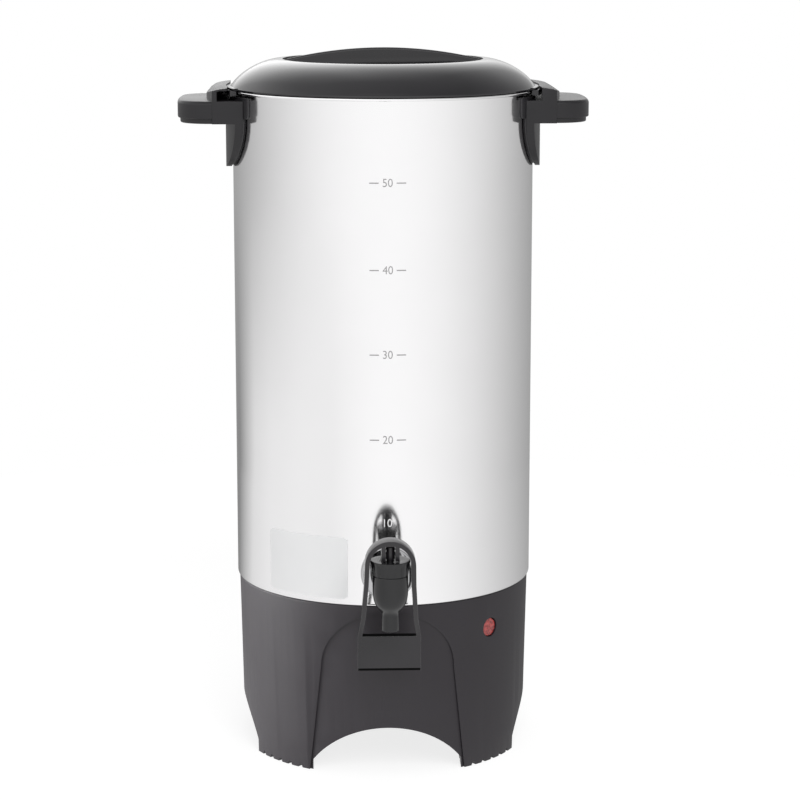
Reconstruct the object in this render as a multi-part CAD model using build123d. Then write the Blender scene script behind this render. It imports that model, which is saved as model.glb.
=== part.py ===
"""Percolating coffee urn with a twist-lock lid, two side handles and a push-back faucet.

Construction frame: millimetres, +Z up, floor at Z = 0, tank axis at X = Y = 0, front towards -Y.
Every piece is moved by AXIS_Y on export, so that the origin is the centre of the bounding box's base.
Azimuths are measured in degrees from the front (-Y), positive towards +X.
"""
from build123d import *
import math
import os

# ---------------------------------------------------------------- driving dimensions
TANK_R = 100.0
TANK_WALL = 0.8
FLOOR_Z = 116.4
RIM_Z = 446.0
RIM_BEAD_R = 1.0
TANK_IN_R = TANK_R - TANK_WALL

WELL_R = 20.8
WELL_Z = 100.0
STUD_CIRCLE_R = 75.0

BASE_TOP_R = 98.7
BASE_FOOT_R = 96.25
BASE_WALL = 2.8
DECK_THICK = 3.0
DECK_HOLE_R = 60.0
SOLE_THICK = 5.0
FRONT_ARCH = (49.2, 32.7, 7.0)
SIDE_ARCH = (42.6, 33.6, 8.5)
HATCH_R = 62.0
HATCH_SCREW_CIRCLE_R = 57.0
LEDGE_Z = 36.0
LEDGE_THICK = 3.0
LEDGE_HOLE_R = 52.0
PANEL_DEPTH = 1.3
PANEL_TOP_Z = 112.0
PANEL_SPRING_Z = 73.0
PANEL_FOOT_HALF = 51.6
PANEL_SPRING_HALF = 43.8
RIB_AZIMUTHS = (37.0, 42.4, 47.8, 53.2, 58.6)
RIB_GROOVE_DEPTH = 2.4

LAMP_AZ = 44.55
LAMP_Z = 93.45
LAMP_HOLE_R = 6.5
LENS_RECESS = 0.9
LENS_DEPTH = 3.5
LAMP_TUBE_LENGTH = 24.0

LABEL_AZ = (-49.9, -15.2)
LABEL_Z = (121.0, 162.0)

LID_Z = RIM_Z + 0.3
LID_R = 101.5
LID_CROWN_R = 67.5
LID_CROWN_RISE = 19.5
FINGER_WELL_R = 64.5
FINGER_FLOOR_RISE = 4.0
LID_WALL = 2.6
LUG_HALF_ANGLE = 19.0
LUG_R = 106.4
LUG_STEP_R = 103.6
GRIP_SPRING_RISE = 19.6
GRIP_TOP_RISE = 27.3
GRIP_HALF_LENGTH = 64.4
GRIP_HALF_WIDTH = 12.0
GRIP_BACK_SLOPE = 0.1
GRIP_LEAN = math.tan(math.radians(4))
GRIP_SCREW_X = 40.0
STEAM_VENT_Y = 30.0

HANDLE_HALF = 43.0
HANDLE_IN_R = 101.7
GRIP_REACH = 136.1
GRIP_HALF = 42.4
GRIP_CORNER_DROP = 3.4
GRIP_CORNER_R = 22.0
GRIP_WALL = 3.5
GRIP_SKIRT_INSET = 1.6
SADDLE_R = 101.4
HOOD_OUT = 117.0
HOOD_INNER_X = 102.4
HOOD_INNER_R = 104.0
HOOD_WALL = 3.4
SADDLE_HALF_ANGLE = 28.8
HANDLE_LOW_Z = RIM_Z - 20.5
HANDLE_SHELF_Z = RIM_Z - 5.8
TAIL_FOOT_Z = RIM_Z - 50.9
TAIL_SPRING_Z = RIM_Z - 20.0
HANDLE_SCREW_Z = RIM_Z - 11.6
HANDLE_SCREW_AZIMUTHS = (78.0, 102.0)

FAUCET_Y = -145.0
FAUCET_Z = 139.5
FLANGE_R = 17.8
COLLAR_Y = -103.6
SHANK_R = 7.85
SHANK_HOLE_R = 8.2
BONNET_R = 12.75
BONNET_Z = (150.2, 159.8)
SPOUT_R = 5.6
SPOUT_BORE_R = 3.5
SPOUT_Z = 113.8
STEM_R = 2.2
COLLAR_Z = (137.6, 139.0)
SPRING_Z = (139.2, 156.4)
PIVOT_Z = 165.6
PIN_R = 1.1
LEVER_TOP_Z = 173.0
HEEL_HALF = 6.0
EAR_X = (3.05, 5.7)
PADDLE_Z = (80.4, 103.4)
PADDLE_HALF = 20.3
ARCH_HALF = 16.1
LEG_THICK = 2.9

TUBE_R = 4.5
BASKET_R = 72.0
BASKET_Z = (370.0, 428.0)

HEATER_RING_R = 27.0
HEATER_PIN_X = 9.5
HEATER_PIN_Y = math.sqrt(HEATER_RING_R ** 2 - HEATER_PIN_X ** 2)
HEATER_PIN_Z = 84.0
TERMINAL_Y = 64.0
TERMINAL_X = (35.0, 45.0, 55.0)

INLET_Z = 62.0
INLET_FACE_Y = 99.6
INLET_SCREW_X = 21.0
SLEEVE_HALF = (15.1, 11.1)
SOCKET_HALF = (13.4, 9.4)
SOCKET_FLOOR_Y = 78.0
PIN_GAP = 17.5
CONTACT_R = 2.5
CONTACT_TAIL_R = 2.2
PIN_TAIL_Y = 68.0

ROW_FRONT = FAUCET_Y - BONNET_R
ROW_BACK = LID_R
AXIS_Y = -(ROW_FRONT + ROW_BACK) / 2


# ---------------------------------------------------------------- small helpers
def rod(radius, z_low, z_high):
    """Upright cylinder on the Z axis between two heights."""
    return Pos(0, 0, (z_low + z_high) / 2) * Cylinder(radius, z_high - z_low)


def ring(r_out, r_in, z_low, z_high):
    return rod(r_out, z_low, z_high) - rod(r_in, z_low - 1, z_high + 1)


def block(x_span, y_span, z_span):
    """Box given by its low and high coordinate on each axis."""
    size = [span[1] - span[0] for span in (x_span, y_span, z_span)]
    centre = [(span[1] + span[0]) / 2 for span in (x_span, y_span, z_span)]
    return Pos(*centre) * Box(*size)


def rod_y(radius, y_low, y_high, x, z):
    """Cylinder along Y."""
    return Pos(x, (y_low + y_high) / 2, z) * Rot(90, 0, 0) * Cylinder(radius, y_high - y_low)


def rod_x(radius, x_low, x_high, y, z):
    """Cylinder along X."""
    return Pos((x_low + x_high) / 2, y, z) * Rot(0, 90, 0) * Cylinder(radius, x_high - x_low)


def radial_rod(radius, r_low, r_high, azimuth, z):
    """Cylinder that points straight out of the tank axis at an azimuth."""
    return Rot(0, 0, azimuth) * rod_y(radius, -r_high, -r_low, 0, z)


def outline(points):
    """Closed face in the XZ plane from (x, z) points."""
    wire = Polyline(*[(x, 0, z) for x, z in points], close=True)
    return make_face(wire)


def turned(points):
    """Solid of revolution about Z from (radius, height) points."""
    return revolve(outline(points), axis=Axis.Z)


def along_y(face, y_low, y_high):
    """Extrude an XZ face from y_low to y_high."""
    return Pos(0, y_low, 0) * extrude(face, amount=y_high - y_low, dir=(0, 1, 0))


def sector(r_out, r_in, azimuth_low, azimuth_high, z_low, z_high):
    """Part of a ring between two azimuths."""
    reach = 2 * r_out
    edge = [(0, 0)]
    for step in range(5):
        angle = math.radians(azimuth_low + (azimuth_high - azimuth_low) * step / 4)
        edge.append((reach * math.sin(angle), -reach * math.cos(angle)))
    wedge = make_face(Polyline(*edge, close=True))
    return ring(r_out, r_in, z_low, z_high) & Pos(0, 0, z_low) * extrude(wedge, amount=z_high - z_low)


def hexagon(flats, z_low, z_high, bore_r):
    prism = extrude(RegularPolygon(flats / 2, 6, major_radius=False), amount=z_high - z_low)
    return Pos(0, 0, z_low) * prism - rod(bore_r, z_low - 1, z_high + 1)


def pan_screw(shank_r, length, head_r, head_h):
    """Pan head screw along +Z: the head's bearing face is at Z = 0, the shank above it."""
    head = rod(head_r, -head_h, 0)
    head = fillet(head.edges().group_by(Axis.Z)[0], head_h * 0.45)
    slot = Pos(0, 0, -head_h) * Box(head_r * 1.2, 0.8, 1.2) + Pos(0, 0, -head_h) * Box(0.8, head_r * 1.2, 1.2)
    return head + rod(shank_r, -0.2, length) - slot


def around(shape, count, start=0.0):
    """Copies of a shape turned about the Z axis, evenly spaced."""
    return [Rot(0, 0, start + 360 * i / count) * shape for i in range(count)]


def base_radius(z):
    """Outer radius of the drafted base at a height."""
    return BASE_FOOT_R + (BASE_TOP_R - BASE_FOOT_R) * z / FLOOR_Z


# ---------------------------------------------------------------- tank
def tank_body():
    """Drawn tank: wall, floor, pump well and rolled rim, with the faucet and handle screw holes."""
    wall_top = RIM_Z - RIM_BEAD_R
    well_in = WELL_R - TANK_WALL
    section = outline([
        (0, WELL_Z), (WELL_R, WELL_Z), (WELL_R, FLOOR_Z), (TANK_R, FLOOR_Z), (TANK_R, wall_top),
        (TANK_IN_R, wall_top), (TANK_IN_R, FLOOR_Z + TANK_WALL), (well_in, FLOOR_Z + TANK_WALL),
        (well_in, WELL_Z + TANK_WALL), (0, WELL_Z + TANK_WALL),
    ])
    outer = section.vertices().filter_by(lambda v: abs(v.X - TANK_R) < 0.01 and v.Z < FLOOR_Z + 0.01)
    section = fillet(outer, 2.2)
    inner = section.vertices().filter_by(lambda v: abs(v.X - TANK_IN_R) < 0.01 and v.Z < FLOOR_Z + 1)
    section = fillet(inner, 1.4)
    body = revolve(section, axis=Axis.Z)
    body += Pos(0, 0, wall_top) * Torus(LID_R - RIM_BEAD_R, RIM_BEAD_R)
    body -= rod_y(SHANK_HOLE_R, -TANK_R - 5, -TANK_R + 10, 0, FAUCET_Z)
    for azimuth in HANDLE_SCREW_AZIMUTHS:
        for turn in (azimuth, azimuth + 180):
            body -= radial_rod(2.3, TANK_R - 10, TANK_R + 5, turn, HANDLE_SCREW_Z)
    return body


def tank_label():
    """Blank film label on the tank's lower left."""
    return sector(TANK_R + 0.24, TANK_R + 0.02, *LABEL_AZ, *LABEL_Z)


def tank_studs():
    return around(Pos(0, STUD_CIRCLE_R, 0) * rod(2.5, 104, FLOOR_Z), 3)


def tank_nuts():
    """Nut and washer on each stud, under the deck."""
    deck_low = FLOOR_Z - DECK_THICK
    nut = Pos(0, STUD_CIRCLE_R, 0) * hexagon(8, deck_low - 4.4, deck_low - 0.4, 2.53)
    washer = Pos(0, STUD_CIRCLE_R, 0) * ring(6, 2.6, deck_low - 0.4, deck_low)
    return around(nut, 3) + around(washer, 3)


# ---------------------------------------------------------------- base
def arch_face(arch, grow=0.0):
    """Arched doorway in the XZ plane: straight sides below the spring line and a round arc above it."""
    half, apex, spring = arch
    half += grow
    apex += grow
    sides = Polyline((half, 0, spring), (half, 0, -1), (-half, 0, -1), (-half, 0, spring))
    crown = ThreePointArc((-half, 0, spring), (0, 0, apex), (half, 0, spring))
    return make_face(sides + crown)


def arch_tunnels(grow=0.0):
    """Front-to-back and side-to-side tunnels between the legs."""
    front_back = along_y(arch_face(FRONT_ARCH, grow), -110, 110)
    side_side = Rot(0, 0, 90) * along_y(arch_face(SIDE_ARCH, grow), -110, 110)
    return front_back + side_side


def panel_cutter():
    """Arch-shaped shallow recess that follows the round front of the base."""
    half = PANEL_SPRING_HALF
    rise = PANEL_TOP_Z - PANEL_SPRING_Z
    sides = Polyline((half, 0, PANEL_SPRING_Z), (PANEL_FOOT_HALF, 0, -1), (-PANEL_FOOT_HALF, 0, -1),
                     (-half, 0, PANEL_SPRING_Z))
    crown = Pos(0, 0, PANEL_SPRING_Z) * Rot(90, 0, 0) * EllipticalCenterArc((0, 0), half, rise, arc_size=180)
    face = make_face(sides + crown)
    bite = along_y(face, -110, -60)
    core = Cone(BASE_FOOT_R - PANEL_DEPTH, BASE_TOP_R - PANEL_DEPTH, FLOOR_Z,
                align=(Align.CENTER, Align.CENTER, Align.MIN))
    return bite - core


def foot_grooves():
    """Radial grooves that give each foot its ribs."""
    profile = outline([(-1.9, -0.5), (1.9, -0.5), (0.8, RIB_GROOVE_DEPTH), (-0.8, RIB_GROOVE_DEPTH)])
    groove = along_y(profile, -99, -80)
    grooves = []
    for azimuth in RIB_AZIMUTHS:
        for turn in (azimuth, -azimuth, 180 - azimuth, 180 + azimuth):
            grooves.append(Rot(0, 0, turn) * groove)
    return grooves


def base_housing():
    """Moulded base: drafted wall, deck, four hollow legs, ledge for the bottom cover and front panel."""
    deck_low = FLOOR_Z - DECK_THICK
    inner_low = base_radius(SOLE_THICK) - BASE_WALL
    inner_high = base_radius(deck_low) - BASE_WALL
    shell = Cone(BASE_FOOT_R, BASE_TOP_R, FLOOR_Z, align=(Align.CENTER, Align.CENTER, Align.MIN))
    shell = fillet(shell.edges().group_by(Axis.Z)[-1], 0.9)
    shell -= arch_tunnels()
    hollow = Pos(0, 0, SOLE_THICK) * Cone(inner_low, inner_high, deck_low - SOLE_THICK,
                                          align=(Align.CENTER, Align.CENTER, Align.MIN))
    hollow -= arch_tunnels(BASE_WALL)
    hollow -= rod(HATCH_R + BASE_WALL, 0, LEDGE_Z + LEDGE_THICK)
    shell -= hollow
    shell -= rod(HATCH_R, -1, LEDGE_Z)
    shell -= rod(LEDGE_HOLE_R, -1, LEDGE_Z + LEDGE_THICK + 1)
    shell -= rod(DECK_HOLE_R, deck_low - 1, FLOOR_Z + 1)
    shell -= panel_cutter()
    for groove in foot_grooves():
        shell -= groove
    hatch_hole = Pos(0, HATCH_SCREW_CIRCLE_R, 0) * rod(1.45, LEDGE_Z - 1, LEDGE_Z + LEDGE_THICK + 1)
    stud_hole = Pos(0, STUD_CIRCLE_R, 0) * rod(2.8, deck_low - 1, FLOOR_Z + 1)
    for hole in around(hatch_hole, 4, 45) + around(stud_hole, 3):
        shell -= hole
    shell -= radial_rod(LAMP_HOLE_R, 85, 105, LAMP_AZ, LAMP_Z)
    opening_x = SLEEVE_HALF[0] + 0.2
    opening_z = SLEEVE_HALF[1] + 0.2
    shell -= block((-opening_x, opening_x), (85, 105), (INLET_Z - opening_z, INLET_Z + opening_z))
    for x in (-INLET_SCREW_X, INLET_SCREW_X):
        shell -= rod_y(1.5, 85, 105, x, INLET_Z)
    return shell


def bottom_cover():
    """Round hatch under the base, with vent slots and four screw holes."""
    cover = rod(HATCH_R - 0.4, LEDGE_Z - 2.4, LEDGE_Z)
    slot = Pos(0, 32, LEDGE_Z - 1.2) * Box(3.2, 26, 4)
    for cut in around(slot, 12, 15):
        cover -= cut
    for hole in around(Pos(0, HATCH_SCREW_CIRCLE_R, 0) * rod(1.9, LEDGE_Z - 4, LEDGE_Z + 1), 4, 45):
        cover -= hole
    return cover


def cover_screws():
    screw = Pos(0, HATCH_SCREW_CIRCLE_R, LEDGE_Z - 2.4) * pan_screw(1.4, 10, 3.3, 2.0)
    return around(screw, 4, 45)


# ---------------------------------------------------------------- indicator lamp
def indicator_lens():
    """Round red lens, set a little back in its hole."""
    face_r = base_radius(LAMP_Z) - LENS_RECESS
    lens = rod_y(LAMP_HOLE_R - 0.15, -face_r, -face_r + LENS_DEPTH, 0, LAMP_Z)
    lens = fillet(lens.edges().group_by(Axis.Y)[0], 0.8)
    return Rot(0, 0, LAMP_AZ) * lens


def lamp_holder():
    """Lamp tube behind the lens with its clip flange inside the wall."""
    wall_in = base_radius(LAMP_Z) - BASE_WALL
    flange = rod_y(8.2, -wall_in + 1.8, -wall_in + 3.6, 0, LAMP_Z)
    tube = rod_y(5.2, -wall_in + 3.4, -wall_in + LAMP_TUBE_LENGTH, 0, LAMP_Z)
    return Rot(0, 0, LAMP_AZ) * (flange + tube)


# ---------------------------------------------------------------- lid
def lid_dome():
    """Domed lid with its finger well, inner skirt and two lock lugs."""
    top = LID_Z
    lip_high = (LID_R - 0.2, 0, top + 1.4)
    crown_end = (FINGER_WELL_R, 0, top + LID_CROWN_RISE - 2.7)
    crown_start = (LID_CROWN_R, 0, top + LID_CROWN_RISE - 0.3)
    floor_top = top + FINGER_FLOOR_RISE
    skirt_out = LID_R - 5.3
    skirt_in = skirt_out - 2.0
    shoulder = (FINGER_WELL_R + LID_WALL, 0, top + 14.0)
    edges = [
        Bezier(lip_high, (96.5, 0, top + 9.2), (82.0, 0, top + LID_CROWN_RISE - 0.3), crown_start),
        ThreePointArc(crown_start, (65.5, 0, top + LID_CROWN_RISE - 1.0), crown_end),
        Polyline(crown_end, (61.5, 0, floor_top), (0, 0, floor_top), (0, 0, floor_top - LID_WALL),
                 (63.9, 0, floor_top - LID_WALL), shoulder),
        Bezier(shoulder, (77.0, 0, top + 17.8), (88.0, 0, top + 10.6), (skirt_in, 0, top + 3.0)),
        Polyline((skirt_in, 0, top + 3.0), (skirt_in, 0, top - 6.0), (skirt_out, 0, top - 6.0),
                 (skirt_out, 0, top), (LID_R, 0, top), (LID_R, 0, top + 0.9), lip_high),
    ]
    dome = revolve(make_face(Curve() + edges), axis=Axis.Z)
    lug = sector(LUG_STEP_R, 97.5, 90 - LUG_HALF_ANGLE, 90 + LUG_HALF_ANGLE, top + 0.1, top + 1.6)
    lug += sector(LUG_R, LID_R + 0.7, 90 - LUG_HALF_ANGLE, 90 + LUG_HALF_ANGLE, top - 3.4, top + 0.3)
    dome += lug + Rot(0, 0, 180) * lug
    for x in (-GRIP_SCREW_X, GRIP_SCREW_X):
        dome -= Pos(x, 0, 0) * rod(2.1, top - 1, floor_top + 1)
    for y in (-STEAM_VENT_Y, STEAM_VENT_Y):
        dome -= Pos(0, y, 0) * rod(1.6, top - 1, floor_top + 1)
    return dome


def lid_grip():
    """Arched bar across the finger well, hollow from below; its top falls slightly towards the back."""
    floor_top = LID_Z + FINGER_FLOOR_RISE
    crest = LID_Z + GRIP_TOP_RISE
    spring = LID_Z + GRIP_SPRING_RISE
    foot = floor_top - 4.0
    wall = 3.2
    head = crest + 5

    def bridge(half_length, top_drop):
        sides = Polyline((half_length, 0, spring - top_drop), (half_length - 2.2, 0, foot),
                         (-half_length + 2.2, 0, foot), (-half_length, 0, spring - top_drop))
        arc = ThreePointArc((-half_length, 0, spring - top_drop), (0, 0, crest - top_drop),
                            (half_length, 0, spring - top_drop))
        return make_face(sides + arc)

    def sloped(face, half_width):
        """Extrude front to back along the bar's falling top, centred on the tank axis."""
        length = 2 * half_width * math.sqrt(1 + GRIP_BACK_SLOPE ** 2)
        fall = (GRIP_HALF_WIDTH - half_width) * GRIP_BACK_SLOPE
        return Pos(0, -half_width, -fall) * extrude(face, amount=length, dir=(0, 1, -GRIP_BACK_SLOPE))

    head_half = GRIP_HALF_WIDTH - (head - foot) * GRIP_LEAN
    leaning = make_face(Polyline((0, -GRIP_HALF_WIDTH, foot), (0, GRIP_HALF_WIDTH, foot),
                                 (0, head_half, head), (0, -head_half, head), close=True))
    leaning = Pos(-80, 0, 0) * extrude(leaning, amount=160, dir=(1, 0, 0))
    outer = sloped(bridge(GRIP_HALF_LENGTH, 0), GRIP_HALF_WIDTH) & leaning
    outer = fillet(outer.edges().filter_by(lambda e: e.center().Z > spring + 1), 1.6)
    hollow = sloped(bridge(GRIP_HALF_LENGTH - 3, 3), GRIP_HALF_WIDTH - wall)
    grip = outer - hollow
    for x in (-GRIP_SCREW_X, GRIP_SCREW_X):
        boss = Pos(x, 0, 0) * rod(4.2, floor_top, spring + 1.8)
        grip += boss - Pos(x, 0, 0) * rod(1.55, floor_top - 1, floor_top + 9)
    round_well = turned([
        (0, floor_top), (61.3, floor_top), (64.2, LID_Z + 17.2), (66.5, LID_Z + 40), (0, LID_Z + 40),
    ])
    return grip & round_well


def lid_grip_screws():
    floor_low = LID_Z + FINGER_FLOOR_RISE - LID_WALL
    screw = pan_screw(1.5, 10, 3.4, 1.3)
    return [Pos(x, 0, floor_low) * screw for x in (-GRIP_SCREW_X, GRIP_SCREW_X)]


# ---------------------------------------------------------------- handles, built on the +X side
def plan_arc(reach, corner_drop, half):
    """Plan-view solid bounded outwards by an arc: reach on the centre line, less at the two ends."""
    arc = ThreePointArc((reach - corner_drop, -half), (reach, 0), (reach - corner_drop, half))
    sides = Polyline((reach - corner_drop, half), (60, half), (60, -half), (reach - corner_drop, -half))
    return make_face(arc + sides)


def handle_block(reach, corner_drop, half, z_low, z_high):
    return Pos(0, 0, z_low) * extrude(plan_arc(reach, corner_drop, half), amount=z_high - z_low)


def tail_outline(margin=0.0):
    """Shield shape of the tail in the YZ plane: straight sides and a broad rounded foot."""
    foot = TAIL_FOOT_Z - margin
    half = HANDLE_HALF + margin
    flat = 8.0
    points = [(0, half, RIM_Z - 4), (0, half, TAIL_SPRING_Z)]
    for step in range(1, 8):
        angle = math.radians(90 * step / 8)
        y = flat + (half - flat) * math.cos(angle)
        z = TAIL_SPRING_Z - (TAIL_SPRING_Z - foot) * math.sin(angle)
        points.append((0, y, z))
    points.append((0, flat, foot))
    mirrored = [(x, -y, z) for x, y, z in reversed(points)]
    return make_face(Polyline(*points, *mirrored, close=True))


def tail_prism(margin=0.0):
    return Pos(60, 0, 0) * extrude(tail_outline(margin), amount=60, dir=(1, 0, 0))


def handle_saddle():
    """Thin plate that hugs the tank behind the handle, with a wide wing at the top."""
    wing_z = (RIM_Z - 17.3, RIM_Z - 3.8)
    wing = sector(SADDLE_R, TANK_R + 0.15, 90 - SADDLE_HALF_ANGLE, 90 + SADDLE_HALF_ANGLE, *wing_z)
    corners = wing.edges().filter_by(lambda e: e.length < 3 and e.center().Z < wing_z[0] + 0.1)
    wing = fillet(corners, 4.0)
    apron = ring(SADDLE_R, TANK_R + 0.15, RIM_Z - 60, RIM_Z - 3.8) & tail_prism(-1.5)
    plate = wing + apron
    for azimuth in HANDLE_SCREW_AZIMUTHS:
        plate -= radial_rod(2.3, 95, 108, azimuth, HANDLE_SCREW_Z)
    return plate


def handle_tail():
    """Tapering tail below the grip."""
    return handle_block(104.6, 7.4, HANDLE_HALF, RIM_Z - 60, RIM_Z - 12) & tail_prism()


def grip_ring(margin, z_low, z_high):
    """Solid inside the grip's plan outline, drawn inwards by a margin, with its two outer corners rounded."""
    reach = GRIP_REACH - margin
    solid = handle_block(reach, GRIP_CORNER_DROP, GRIP_HALF - margin, z_low, z_high)
    corners = solid.edges().filter_by(Axis.Z).filter_by(lambda e: e.center().X > HOOD_OUT)
    return fillet(corners, GRIP_CORNER_R - margin)


def outer_edges(solid, z):
    """Edges of a grip solid at one height, without the one buried in the block."""
    return solid.edges().filter_by(lambda e: abs(e.center().Z - z) < 0.1 and e.center().X > 61)


def handle_grip():
    """Grip with rounded corners; the lowest part of its wall stands back behind a small step."""
    low = HANDLE_LOW_Z
    shelf = HANDLE_SHELF_Z
    step = low + 3.1
    grip = grip_ring(0, step, shelf)
    grip = fillet(outer_edges(grip, shelf), 2.4)
    grip = fillet(outer_edges(grip, step), 0.9)
    skirt = grip_ring(GRIP_SKIRT_INSET, low, step + 1)
    skirt = fillet(outer_edges(skirt, low), 0.8)
    finger_hollow = grip_ring(GRIP_WALL, low - 10, shelf - 3.2)
    finger_hollow -= block((50, 110.5), (-60, 60), (low - 20, shelf))
    return grip + skirt, finger_hollow


def hood_shell():
    """Roof over the lid lug with its falling outer slope, and the cavity below it; its -Y end is closed."""
    shelf = HANDLE_SHELF_Z
    cavity_out = HOOD_OUT - HOOD_WALL
    hood_section = make_face(Polyline(
        (HOOD_INNER_X, 0, RIM_Z + 2.7), (106.8, 0, RIM_Z + 2.1), (109.6, 0, RIM_Z + 1.6),
        (112.4, 0, RIM_Z + 0.8), (114.8, 0, RIM_Z - 0.4), (HOOD_OUT, 0, RIM_Z - 2.5),
        (HOOD_OUT + 3, 0, RIM_Z - 2.5), (HOOD_OUT + 3, 0, RIM_Z - 12), (HOOD_INNER_X, 0, RIM_Z - 12),
        close=True))
    hood = along_y(hood_section, -HANDLE_HALF, HANDLE_HALF)
    hood &= handle_block(HOOD_OUT, 5.0, HANDLE_HALF, RIM_Z - 12, RIM_Z + 8)
    cavity_section = make_face(Polyline(
        (60, 0, RIM_Z + 1.0), (106.9, 0, RIM_Z + 1.0), (109.6, 0, RIM_Z + 0.3), (112.0, 0, RIM_Z - 1.2),
        (cavity_out, 0, RIM_Z - 2.8), (cavity_out, 0, shelf), (60, 0, shelf), close=True))
    cavity = along_y(cavity_section, -HANDLE_HALF + HOOD_WALL, HANDLE_HALF + 5)
    cavity &= handle_block(cavity_out, 5.0, HANDLE_HALF + 2, shelf, RIM_Z + 8)
    return hood, cavity


def handle_body():
    """Handle moulding: block on the saddle, hood over the lid lug, grip and tail."""
    shelf = HANDLE_SHELF_Z
    block_part = handle_block(HOOD_OUT, 5.0, HANDLE_HALF, HANDLE_LOW_Z, shelf)
    grip, finger_hollow = handle_grip()
    hood, cavity = hood_shell()
    body = block_part + grip + hood - cavity + handle_tail() - finger_hollow
    body -= rod(HANDLE_IN_R, RIM_Z - 80, shelf + 0.1)
    body -= block((60, HOOD_INNER_X), (-60, 60), (shelf, RIM_Z + 20))
    body -= rod(HOOD_INNER_R, shelf, RIM_Z + 20)
    for azimuth in HANDLE_SCREW_AZIMUTHS:
        body -= radial_rod(2.03, 100, 109.6, azimuth, HANDLE_SCREW_Z)
    return body


def handle_screws():
    """Four screws that come from inside the tank into the two handles."""
    screw = Rot(90, 0, 0) * pan_screw(2.0, 10, 4.0, 2.3)
    screws = []
    for azimuth in HANDLE_SCREW_AZIMUTHS:
        for turn in (azimuth, azimuth + 180):
            screws.append(Rot(0, 0, turn) * Pos(0, -TANK_IN_R + 0.12, HANDLE_SCREW_Z) * screw)
    return screws


# ---------------------------------------------------------------- faucet
def faucet_flange():
    """Bright washer between the faucet's collar and the round tank wall."""
    disc = rod_y(FLANGE_R, COLLAR_Y, -95, 0, FAUCET_Z)
    disc = fillet(disc.edges().group_by(Axis.Y)[0], 1.0)
    return disc - rod(TANK_R + 0.05, 100, 180) - rod_y(SHANK_HOLE_R, -110, -90, 0, FAUCET_Z)


def faucet_gasket():
    """Silicone washer against the inside of the tank wall."""
    disc = rod_y(13.0, -99.5, -94.6, 0, FAUCET_Z) & rod(TANK_IN_R - 0.05, 100, 180)
    return disc - rod_y(SHANK_HOLE_R, -110, -80, 0, FAUCET_Z)


def faucet_nut():
    nut = Rot(90, 0, 0) * hexagon(23, 87.6, 94.6, SHANK_R + 0.1)
    return Pos(0, 0, FAUCET_Z) * nut


def faucet_body():
    """Faucet moulding: threaded shank, collar, neck, bulb and spout, with its waterway."""
    bulb = turned([
        (0, SPOUT_Z), (SPOUT_R, SPOUT_Z), (5.3, 124.2), (8.4, 128.6), (10.6, 133.5), (11.3, 140.5),
        (11.3, 150.0), (10.2, 150.0), (10.2, 156.6), (0, 156.6),
    ])
    soft = bulb.edges().filter_by(lambda e: 123 < e.center().Z < 142)
    bulb = fillet(soft, 2.0)
    bulb = Pos(0, FAUCET_Y, 0) * bulb
    shank = rod_y(SHANK_R, -106, -84, 0, FAUCET_Z)
    collar = rod_y(11.5, COLLAR_Y - 5, COLLAR_Y, 0, FAUCET_Z)
    collar = fillet(collar.edges().group_by(Axis.Y)[0], 1.2)
    neck = rod_y(7.2, FAUCET_Y, COLLAR_Y - 4, 0, FAUCET_Z)
    body = bulb + shank + collar + neck
    chamber = turned([
        (0, SPOUT_Z - 1), (SPOUT_BORE_R, SPOUT_Z - 1), (SPOUT_BORE_R, 128.2), (5.0, 130.0), (8.2, 134.2),
        (8.6, 140.0), (8.6, 157), (0, 157),
    ])
    body -= Pos(0, FAUCET_Y, 0) * chamber
    body -= rod_y(4.6, FAUCET_Y, -80, 0, FAUCET_Z)
    return body


def faucet_bonnet():
    """Ribbed cap nut that closes the valve chamber."""
    low, high = BONNET_Z
    cap = turned([
        (0, low), (11.4, low), (BONNET_R - 0.3, high - 2.0), (BONNET_R, high - 0.6), (12.2, high), (0, high),
    ])
    cap -= rod(10.35, low - 1, high - 3)
    cap -= rod(STEM_R + 0.3, low, high + 1)
    groove = Pos(0, -BONNET_R + 0.1, (low + high) / 2) * Rot(-6, 0, 0) * Cylinder(0.55, high - low + 3)
    for cut in around(groove, 14, 360 / 28):
        cap -= cut
    return Pos(0, FAUCET_Y, 0) * cap


def valve_stem():
    """Stem with its spring collar below and a round head for the lever pin above."""
    head = rod(2.85, 160.6, PIVOT_Z + 3.4)
    head = fillet(head.edges().group_by(Axis.Z)[-1], 1.6)
    stem = rod(STEM_R, 130.6, 161) + head + rod(5.6, *COLLAR_Z) + rod(3.2, 131.6, 133.2)
    stem -= rod_x(PIN_R, -10, 10, 0, PIVOT_Z)
    return Pos(0, FAUCET_Y, 0) * stem


def valve_cup():
    """Silicone cup that seals the outlet."""
    cup = turned([
        (0, 128.5), (2.8, 128.7), (4.6, 130.6), (6.2, 133.0), (6.2, 136.6), (4.6, 137.4), (0, 137.4),
    ])
    stem_room = rod(STEM_R, 130.6, 140) + rod(3.2, 131.6, 133.2)
    return Pos(0, FAUCET_Y, 0) * (cup - stem_room)


def valve_spring():
    """Compression spring between the stem collar and the bonnet."""
    low, high = SPRING_Z
    wire_r = 0.45
    path = Helix(pitch=2.9, height=high - low - 2 * wire_r, radius=4.3)
    wire = sweep(Plane(path @ 0, z_dir=path % 0) * Circle(wire_r), path=path)
    return Pos(0, FAUCET_Y, low + wire_r) * wire


def lever_pin():
    return rod_x(PIN_R, -5.9, 5.9, FAUCET_Y, PIVOT_Z)


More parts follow.
